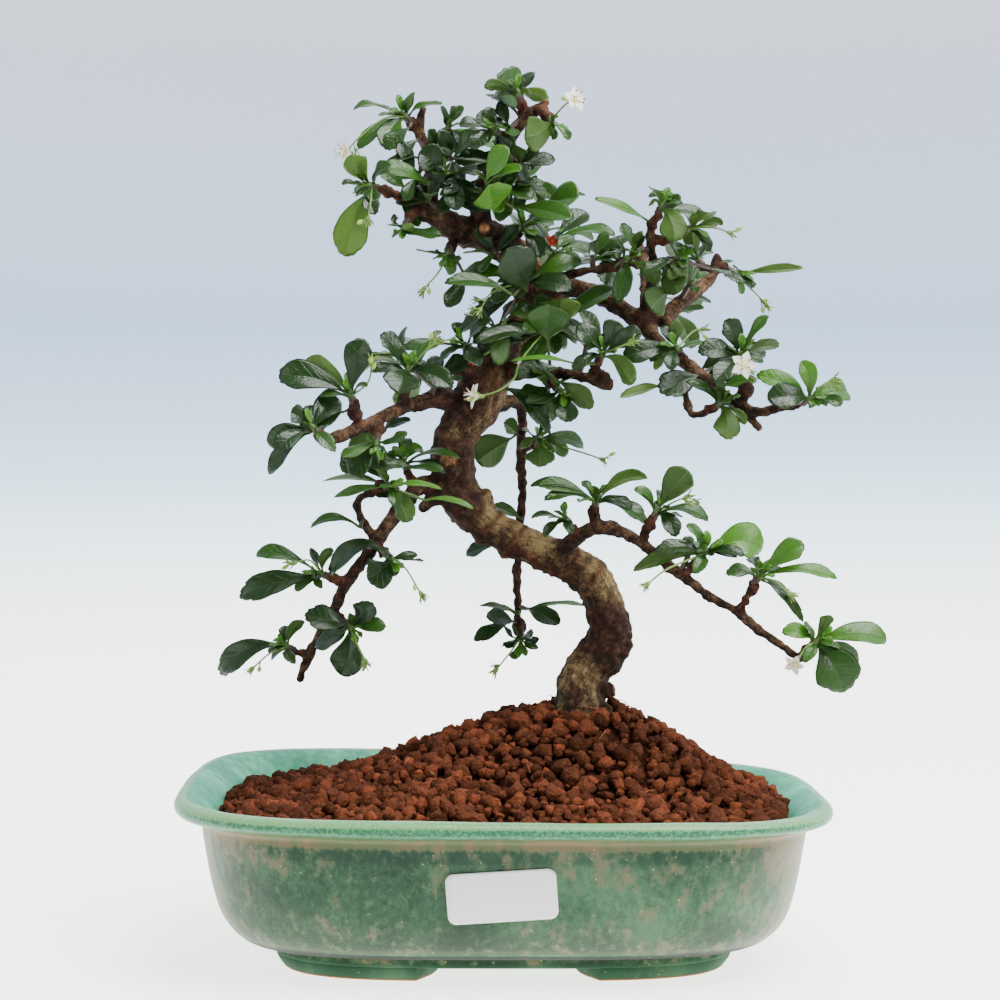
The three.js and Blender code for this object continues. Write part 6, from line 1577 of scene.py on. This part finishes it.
def leafSamples(form, breadth):
    # Points at both edges and on the midrib of the frame's blade, and its tip.
    half = form["length"] * breadth / 2
    shares = np.array([0.3] * 3 + [0.5] * 3 + [0.7] * 3 + [0.85] * 3 + [1.0])
    sides = np.array([-0.85, 0, 0.85] * 4 + [0]) * half
    at, across, normal = leafStations(form, shares)
    return at + across * sides[:, None] + normal * (leaf["fold"] * np.abs(sides))[:, None]


def against(rosette, rows):
    # Drawn points whose depth is counted from the rosette's middle.
    return seen([[x, z, rosette["at"][2] + out] for x, z, out in rows])


def shootPlaces(rosette):
    axis = rosetteAxis(rosette)
    start = seen(rosette["at"])[0] + axis * drawing["seat"]
    if "stem" in rosette:
        return np.concatenate([[start], seen(rosette["stem"])])
    return np.array([start, start + axis * leaf["shootLength"]])


def rosetteRoot(rosette):
    return seen(rosette["at"])[0] + rosetteAxis(rosette) * leaf["rootPlace"]


def whorlTurn(number):
    return number * math.pi * (3 - math.sqrt(5))


def spokeOf(side, over, turn):
    return side * math.cos(turn) + over * math.sin(turn)


drawStemLeaf = drawFrom(7)


def leafPlans(rosette):
    # Each leaf to come: where it starts, the way it springs, its tip, its face and its breadth.
    if "stem" not in rosette:
        root, axis = rosetteRoot(rosette), rosetteAxis(rosette)
        return [(root, axis, (x, z, rosette["at"][2] + out), face, breadth * leaf["widen"])
                for x, z, out, face, breadth in rosette["leaves"]]
    places = shootPlaces(rosette)
    plans = []
    for k in range(rosette["whorl"]):
        along = (k + 0.8) * (len(places) - 1) / rosette["whorl"]
        part = min(int(along), len(places) - 2)
        root = places[part] + (places[part + 1] - places[part]) * min(along - part, 0.97)
        axis = unit(places[part + 1] - places[part])
        side = unit(np.cross(axis, upward))
        turn = whorlTurn(k)
        reach = axis * leaf["stemLean"] + side * math.cos(turn) + np.cross(side, axis) * math.sin(turn)
        tip = root + unit(reach) * drawStemLeaf(*leaf["stemLeaf"])
        plans.append((root, axis, tip, 0, leaf["stemBreadth"] * leaf["widen"]))
    return plans


def placedLeaf(plan, drawn, taken):
    # The first depth that is clear of other rosettes and of the wood, or else the one with most room.
    root, axis, tip, face, breadth = plan
    best = None
    for step in leaf["tries"]:
        spot = seen([tip[0], tip[1], tip[2] + step])[0] if drawn else tip + np.array([0, step, 0])
        foot = root + unit(spot - root) * leaf["rootReach"]
        form = leafForm(foot, axis, spot, face)
        samples = leafSamples(form, breadth)
        room = nearestBar(samples, *stretches).min() - leaf["woodClearance"]
        if len(taken):
            far = np.linalg.norm(samples[:, None] - taken, axis=2).min()
            room = min(room, far - leaf["clearance"])
        if best is None or room > best[0]:
            best = (room, form, samples)
        if room >= 0:
            break
    return best[1:]


def placeLeaves():
    # Every rosette's leaves as the frame has them: the form and breadth of each.
    taken = np.zeros((0, 3))
    placed = {}
    for name, rosette in rosettes.items():
        plans = leafPlans(rosette)
        found = [placedLeaf(plan, "stem" not in rosette, taken) for plan in plans]
        taken = np.concatenate([taken, *[samples for _, samples in found]])
        placed[name] = [(form, plan[-1]) for (form, _), plan in zip(found, plans)]
    return placed


def nearYouth(random, base, spread, shift=0.0):
    return float(np.clip(base + random.normal(shift, spread), 0, 1))


def restyled(form, breadth, random, base, own=None):
    # The finer blade: by rule turned somewhat further up than the frame's and narrower, or with a
    # shift of its tip across and up, a face, a breadth, a youth and an arch of its own.
    if own:
        across, up, face, breadth, youth, arch, *back = own
        tip = form["tip"] + (across, sum(back), up)
    else:
        face, arch = form["face"] * 0.66 - random.uniform(0, 14), random.uniform(0, 0.1)
        tip, breadth = form["tip"], breadth * random.uniform(0.82, 0.95)
        youth = nearYouth(random, base, 0.2)
    bend = form["bend"] + (tip - form["tip"]) * 0.45
    length = np.linalg.norm(tip - form["root"])
    finer = {"root": form["root"], "bend": bend + upward * arch * length, "tip": tip,
             "facing": facingOf(face), "length": length}
    return finer, breadth, youth, arch


def addLeaf(shell, form, breadth, youth, random, arch=0.05, grid="full"):
    # u runs from root to tip and v from edge to edge. The cap is 1 - 0.25 |v|^k, with k from 2 to 3,
    # less its notches. The breadth grows as a sine and is full where the edge is at 0.7 of the length.
    rows, columns = leaf["grids"][grid]
    u = np.linspace(0, 1, rows)[:, None]
    v = np.linspace(-1, 1, columns)[None, :]
    edge = np.abs(v)
    notch = random.uniform(0.25, 1.2) * (1 - 0.5 * youth)
    droop = random.uniform(0.02, 0.1) + arch * 0.6
    lean = random.uniform(-0.04, 0.04)
    cap = 1 - 0.25 * edge ** random.uniform(2.0, 3.0)
    cap = cap - notch * (0.03 * np.exp(-((edge - 0.26 + lean) / 0.08) ** 2)
                         + 0.055 * np.exp(-((edge - 0.62 - lean) / 0.09) ** 2))
    level = u * leaf["widest"]
    width = np.sin(np.pi / 2 * np.clip((level - 0.03) / 0.68, 0, 1)) ** random.uniform(1.15, 1.5)
    width = width - notch * 0.05 * np.exp(-((level - 0.6) / 0.03) ** 2)
    half = form["length"] * breadth / 2
    side = v * np.maximum(half * width, 0.42)
    share = u * cap
    at, across, normal = leafStations(form, share)
    # the halves fold up and bow, the edge waves, the veins quilt and the tip droops
    bow = 1.42 * edge - random.uniform(0.45, 0.62) * edge ** 2
    rise = leaf["fold"] * half * width * bow
    depth, rate, start = random.uniform(0.15, 0.5), random.uniform(1.1, 1.9), random.uniform()
    waves = depth * np.sin(2 * np.pi * (share * rate + start + 0.2 * np.sign(v)))
    quilt = 0.07 * np.sin(2 * np.pi * (share * 5.5 - edge * 1.1)) * edge * (1 - edge) * 4
    rise = rise + (waves * edge ** 2 + quilt * (1 - youth)) * np.minimum(u * 3, 1)
    rise = rise - droop * form["length"] * share ** 3
    top = at + across * side[..., None] + normal * np.broadcast_to(rise, side.shape)[..., None]
    foot, rib = np.exp(-(share / 0.12) ** 2), np.exp(-(v / 0.1) ** 2)
    thick = leaf["thickness"] + 0.55 * foot + 0.3 * rib * (1 - share)
    shell.addSheet(top, top - normal * thick[..., None], [finishNumbers["top"], finishNumbers["under"]],
                   along=share, across=v, youth=youth)


def addBlade(shell, start, heading, facing, length, breadth, curl, finish, rows=6, columns=3, **values):
    # A narrow pointed blade: breadth goes as sin(pi u^0.8), and it curls away as u squared.
    u = np.linspace(0, 1, rows)[:, None]
    v = np.linspace(-1, 1, columns)[None, :]
    across = unit(np.cross(heading, facing))
    width = breadth / 2 * np.sin(np.pi * np.clip(u, 0.03, 0.985) ** 0.8)
    at = start + heading * (u * length)[..., None] + facing * (curl * length * u * u)[..., None]
    top = at + across * (v * width)[..., None] + facing * (0.25 * width * v * v)[..., None]
    shell.addSheet(top, top - facing * 0.12, [finishNumbers[finish]] * 2, along=u, **values)


def leafVeins(maker):
    # A midrib at v = 0, and side veins where u*6.5 - |v|*1.5 passes a half.
    along, across = maker.value("along"), abs(maker.value("across"))
    phase = (along * 6.5 - across * 1.5 + maker.noise(5, 2) * 0.5).part()
    rib = 1 - across.rise(0.0, 0.055)
    side = (1 - abs(phase - 0.5).rise(0.0, 0.11)) * (1 - across.rise(0.85, 1.0)) * along.rise(0.12, 0.3)
    return along, rib, side


def leafTopFinish():
    maker = Maker("leafTopFinish")
    along, rib, side = leafVeins(maker)
    youth, mottle = maker.value("youth"), maker.noise(4.5, 4)
    old = maker.mix(mottle, tint(20, 54, 12), tint(46, 92, 24))
    middle = maker.mix(mottle, tint(46, 100, 16), tint(76, 136, 26))
    fresh = maker.mix(mottle, tint(86, 152, 18), tint(126, 182, 38))
    colour = maker.mix(youth.rise(0.08, 0.45), old, middle)
    colour = maker.mix(youth.rise(0.5, 0.92), colour, fresh)
    colour = maker.mix(rib * (0.22 + youth * 0.25), colour, tint(120, 156, 70))
    colour = maker.mix(side * (0.06 + youth * 0.14), colour, tint(110, 150, 70))
    colour = maker.mix((1 - along.rise(0.03, 0.2)) * 0.6, colour, tint(104, 146, 62))
    pebble = maker.cells(1.1).rise(0.0, 0.8)
    height = (1 - rib * 0.9) * 0.5 - side * 0.16 + pebble * 0.16 + mottle * 0.5
    rough = 0.2 + maker.noise(2.5, 3) * 0.22 + youth * 0.06
    return maker.leafy(0.2, maker.mix(0.55, colour, tint(120, 190, 40)), Base_Color=colour, Roughness=rough,
                       Coat_Weight=0.1, Coat_Roughness=0.18, Specular_IOR_Level=0.44,
                       Normal=maker.bump(height, 0.45, 0.8))


def leafUnderFinish():
    maker = Maker("leafUnderFinish")
    _, rib, side = leafVeins(maker)
    mottle = maker.noise(5, 4)
    old = maker.mix(mottle, tint(66, 106, 34), tint(98, 140, 50))
    fresh = maker.mix(mottle, tint(110, 150, 44), tint(142, 176, 66))
    colour = maker.mix(maker.value("youth").rise(0.2, 0.85), old, fresh)
    colour = maker.mix((rib * 0.55).most(side * 0.2), colour, tint(150, 180, 102))
    height = rib * 0.8 + side * 0.35 + mottle * 0.2
    return maker.leafy(0.3, maker.mix(0.5, colour, tint(126, 192, 40)), Base_Color=colour, Roughness=0.5,
                       Specular_IOR_Level=0.35, Normal=maker.bump(height, 0.4, 0.7))


def shootFinish():
    maker = Maker("shootFinish")
    fleck = maker.noise(1.6, 4)
    green = maker.mix(fleck, tint(74, 112, 44), tint(128, 158, 76))
    brown = maker.mix(fleck, tint(54, 34, 24), tint(116, 82, 56))
    colour = maker.mix(maker.value("youth").rise(0.3, 0.7), brown, green)
    return maker.finish(Base_Color=colour, Roughness=0.6, Normal=maker.bump(fleck, 0.4, 0.7))


def stalkFinish():
    maker = Maker("stalkFinish")
    colour = maker.mix(maker.noise(2.2, 3), tint(104, 146, 56), tint(168, 190, 96))
    colour = maker.mix(maker.value("youth").rise(0.6, 1.0), colour, tint(196, 206, 118))
    return maker.finish(Base_Color=colour, Roughness=0.5)


def petalFinish():
    # White from a yellow heart outwards; youth stands for dryness here.
    maker = Maker("petalFinish")
    vein = maker.noise(1.3, 3)
    white = maker.mix(vein, tint(238, 226, 216), tint(252, 247, 242))
    dried = maker.mix(vein, tint(142, 62, 36), tint(214, 128, 82))
    heart = 1 - maker.value("along").rise(0.1, 0.4)
    colour = maker.mix(heart * 0.7, white, tint(226, 216, 150))
    colour = maker.mix(maker.value("tan"), colour, tint(180, 130, 74))
    colour = maker.mix(maker.value("youth"), colour, dried)
    return maker.finish(Base_Color=colour, Roughness=0.6, Normal=maker.bump(vein, 0.1, 0.5))


plantFinishes = [leafTopFinish(), leafUnderFinish(), shootFinish(), stalkFinish(), petalFinish()]


def plantShell():
    return Shell("along", "across", "youth", "tan")


def squareTo(heading):
    side = unit(np.cross(heading, upward + viewerward * 0.31))
    return side, np.cross(heading, side)


def addStem(shell, places, radii, sides, youth, finish="stalk"):
    shell.addTube(places, radii, sides, finishNumbers[finish], youth=youth)


def addCalyx(shell, at, heading, random, size=1.0):
    # A small cup with five narrow sepals that spread from its rim.
    side, over = squareTo(heading)
    cup = at + heading * np.array([-1.4, -0.8, 0.1, 0.9])[:, None] * size
    addStem(shell, cup, np.array([0.35, 0.75, 1.0, 0.7]) * size, 8, 0.4)
    for k in range(5):
        spoke = spokeOf(side, over, k * 2 * np.pi / 5 + random.uniform(-0.2, 0.2))
        lean = unit(heading + spoke * random.uniform(0.35, 0.75))
        facing = unit(spoke - lean * lean.dot(spoke))
        addBlade(shell, at + spoke * 0.7 * size + heading * 0.3 * size, lean, facing,
                 random.uniform(2.6, 3.4) * size, 0.95 * size, 0.12, "stalk", youth=0.7)


def addStalk(shell, places, random):
    # A bending stalk with a calyx at its end, and one to three more on short side stalks.
    rows = smoothPath(places, 6)
    addStem(shell, rows, np.linspace(0.42, 0.3, len(rows)), 6, 0.3)
    end, heading = rows[-1], unit(rows[-1] - rows[-3])
    addCalyx(shell, end, heading, random)
    for _ in range(random.integers(1, 4)):
        start = rows[-random.integers(2, 6)]
        lean = unit(heading + unit(random.normal(size=3)) * 0.9)
        tip = start + lean * random.uniform(2.4, 4.6)
        middle = (start + tip) / 2 + heading * 0.5
        addStem(shell, smoothPath([start, middle, tip], 3), 0.26, 5, 0.3)
        if random.uniform() < 0.5:
            addCalyx(shell, tip, lean, random, 0.75)
        else:
            bud = tip + lean * np.array([-0.3, 0.5, 1.3, 2.0])[:, None]
            addStem(shell, bud, [0.4, 0.85, 0.8, 0.35], 7, 0.9)
    return end


def addBloom(shell, at, heading, random, size=5.2, dried=0.0):
    # Five petals round a short throat, and in a fresh bloom five stamens and a style.
    petal = finishNumbers["petal"]
    side, over = squareTo(heading)
    throat = at - heading * np.array([1.7, 0.9, 0.1])[:, None]
    shell.addTube(throat, [0.7, 0.8, 1.0], 10, petal, along=0.1, youth=dried)
    for k in range(5):
        turn = (k + 0.5) * 2 * np.pi / 5 + random.uniform(-0.08, 0.08)
        spoke = spokeOf(side, over, turn)
        lean = unit(spoke + heading * (0.12 + 0.7 * dried))
        facing = unit(heading - lean * lean.dot(heading))
        addBlade(shell, at + spoke * 0.5, lean, facing, size - 0.5, size * (0.64 - 0.22 * dried),
                 random.uniform(-0.22, 0.05) + 0.4 * dried, "petal", 9, 7, youth=dried)
        if not dried:
            tip = at + spokeOf(side, over, turn + np.pi / 5) * size * 0.42 + heading * size * 0.62
            shell.addTube(smoothPath([at, (at + tip) / 2 + heading * 0.3, tip], 4), 0.13, 5, petal, along=1.0)
            shell.addTube([tip - side * 0.3, tip + side * 0.3], 0.3, 6, petal, along=1.0, tan=0.9)
    if not dried:
        style = [at, at + heading * size * 0.5, at + heading * size * 0.8 + over * 0.4]
        shell.addTube(style, 0.15, 5, petal, along=0.5)


def addSprig(shell, start, at, count, reach, age, random):
    # A short leafy twig between the larger rosettes.
    axis = unit(at - start)
    side, over = squareTo(axis)
    path = smoothPath([start, (start + at) / 2 + side * 0.6, at], 5)
    addStem(shell, path, np.linspace(1.3, 0.9, len(path)), 8, 0.1, "shoot")
    for k in range(count):
        spoke = spokeOf(side, over, whorlTurn(k) + random.uniform(0, 1))
        lean = unit(axis * random.uniform(0.1, 0.9) + spoke + upward * 0.2)
        foot = at - axis * random.uniform(0, 1.6)
        tip = foot + lean * reach * random.uniform(0.75, 1.15)
        form = leafForm(foot, axis * 0.4, tip, random.uniform(0, 65))
        youth = nearYouth(random, age, 0.15)
        addLeaf(shell, form, random.uniform(0.42, 0.55), youth, random, random.uniform(0, 0.1), "sprig")


def nearestWood(point):
    # The closest place on the middle line of the wood.
    starts, ends = stretches[:2]
    run = ends - starts
    share = np.clip(((point - starts) * run).sum(axis=1) / (run * run).sum(axis=1), 0, 1)
    spots = starts + run * share[:, None]
    return spots[np.argmin(np.linalg.norm(spots - point, axis=1))]


def addSingleLeaf(shell, root, tip, face, breadth, youth, arch, random):
    # A leaf on a short stalk of its own from the nearest wood.
    root, tip = seen([root, tip])
    hold = nearestWood(root)
    path = smoothPath([hold, (hold + root) / 2 + upward * 0.4, root], 4)
    addStem(shell, path, np.linspace(0.75, 0.5, len(path)), 7, 0.2 + 0.6 * youth, "shoot")
    form = leafForm(root, upward * 0.2, tip, face)
    form["bend"] = form["bend"] + upward * arch * form["length"]
    addLeaf(shell, form, breadth, youth, random, arch)


def addShoot(shell, rows):
    # The rosette's own short shoot: brown at its foot and green at its end.
    run = np.linspace(0, 1, len(rows))
    radii = leaf["shootRadius"] * (1 - 0.42 * run) * (1 + 0.12 * np.sin(run * 24))
    sides = leaf["shootSides"]
    points, faces = tube(rows, radii, sides)
    youth = np.repeat(np.linspace(-0.1, 1, (len(points) - 2) // sides), sides)
    shell.add(points, faces, finishNumbers["shoot"], youth=np.concatenate([youth, [0, 1]]))


def addFillers(shell, rows, axis, reach, base, random):
    # Smaller leaves fill the rosette between the large ones.
    side, over = squareTo(axis)
    for k in range(leaf["fillers"]):
        spoke = spokeOf(side, over, whorlTurn(k) + random.uniform(0, 1))
        lean = unit(axis * random.uniform(0.25, 0.9) + spoke + upward * 0.15)
        start = rows[-2] - axis * random.uniform(0.3, 2.2)
        tip = start + lean * reach * random.uniform(0.35, 0.66)
        form = leafForm(start, axis * 0.4, tip, random.uniform(0, 50))
        youth = nearYouth(random, base, 0.2, 0.08)
        addLeaf(shell, form, random.uniform(0.4, 0.52), youth, random, 0.05, "filler")


def addBudLeaves(shell, rows, axis, random):
    # Small new leaves stand at the end of the shoot.
    side, over = squareTo(axis)
    start = rows[-1] - axis * 0.6
    for k in range(leaf["budLeaves"]):
        spoke = spokeOf(side, over, k * 2.3 + random.uniform(0, 1))
        lean = unit(axis + spoke * random.uniform(0.35, 0.8))
        form = leafForm(start, axis * 0.25, start + lean * random.uniform(4.5, 8), random.uniform(20, 60))
        addLeaf(shell, form, 0.42, 0.95, random, 0.05, "bud")


def addFlowers(shell, rosette, random):
    # The rosette's stalk with its open bloom, a piece of its own, and its small withered or young ones.
    root = rosetteRoot(rosette)
    if "stalk" in rosette:
        end = addStalk(shell, np.concatenate([[root], against(rosette, rosette["stalk"])]), random)
    if "bloom" in rosette:
        flower = plantShell()
        facing = unit(np.array(rosette["facing"]))
        at = end - (0, 2.9, 0)
        addBloom(flower, at, facing, random)
        addCalyx(flower, at - facing * 2.4, facing, random, 0.9)
        putPiece(rosette["bloom"] + "_bloom", flower.mesh("bloom"), plantFinishes, rosette["bloom"])
    for *place, size, dried in rosette.get("small", []):
        at = against(rosette, [place])[0]
        path = smoothPath([root, root + (at - root) * 0.5 + upward * 1.5, at], 6)
        addStem(shell, path, np.linspace(0.5, 0.32, len(path)), 6, 0.3)
        heading = unit(unit(at - root) + viewerward * 0.7)
        addCalyx(shell, at, heading, random, 0.8)
        addBloom(shell, at + heading * 1.6, heading, random, size, dried)


def makeRosettes():
    placed = placeLeaves()
    for number, (key, rosette) in enumerate(rosettes.items()):
        random = np.random.default_rng(100 + number)
        shell = plantShell()
        places = shootPlaces(rosette)
        axis = unit(places[-1] - places[-2])
        rows = smoothPath(np.concatenate([[places[0] - axis * 0.2], places[1:]]), 6)
        addShoot(shell, rows)
        base = rosette.get("youth", leaf["youth"])
        for k, (form, breadth) in enumerate(placed[key]):
            form, breadth, youth, arch = restyled(form, breadth, random, base, rosette.get("own", {}).get(k))
            addLeaf(shell, form, breadth, youth, random, arch)
        reach = np.mean([form["length"] for form, _ in placed[key]])
        addFillers(shell, rows, axis, reach, base, random)
        for start, at, *look in rosette.get("sprigs", []):
            addSprig(shell, *seen([start, at]), *look, random)
        for row in rosette.get("single", []):
            addSingleLeaf(shell, *row, random)
        addBudLeaves(shell, rows, axis, random)
        addFlowers(shell, rosette, random)
        name = "leaves_" + key
        putPiece(name + "_fine", shell.mesh(name + "_fine"), plantFinishes, name)
    return sum(len(forms) for forms in placed.values())


print("leaves made:", makeRosettes())
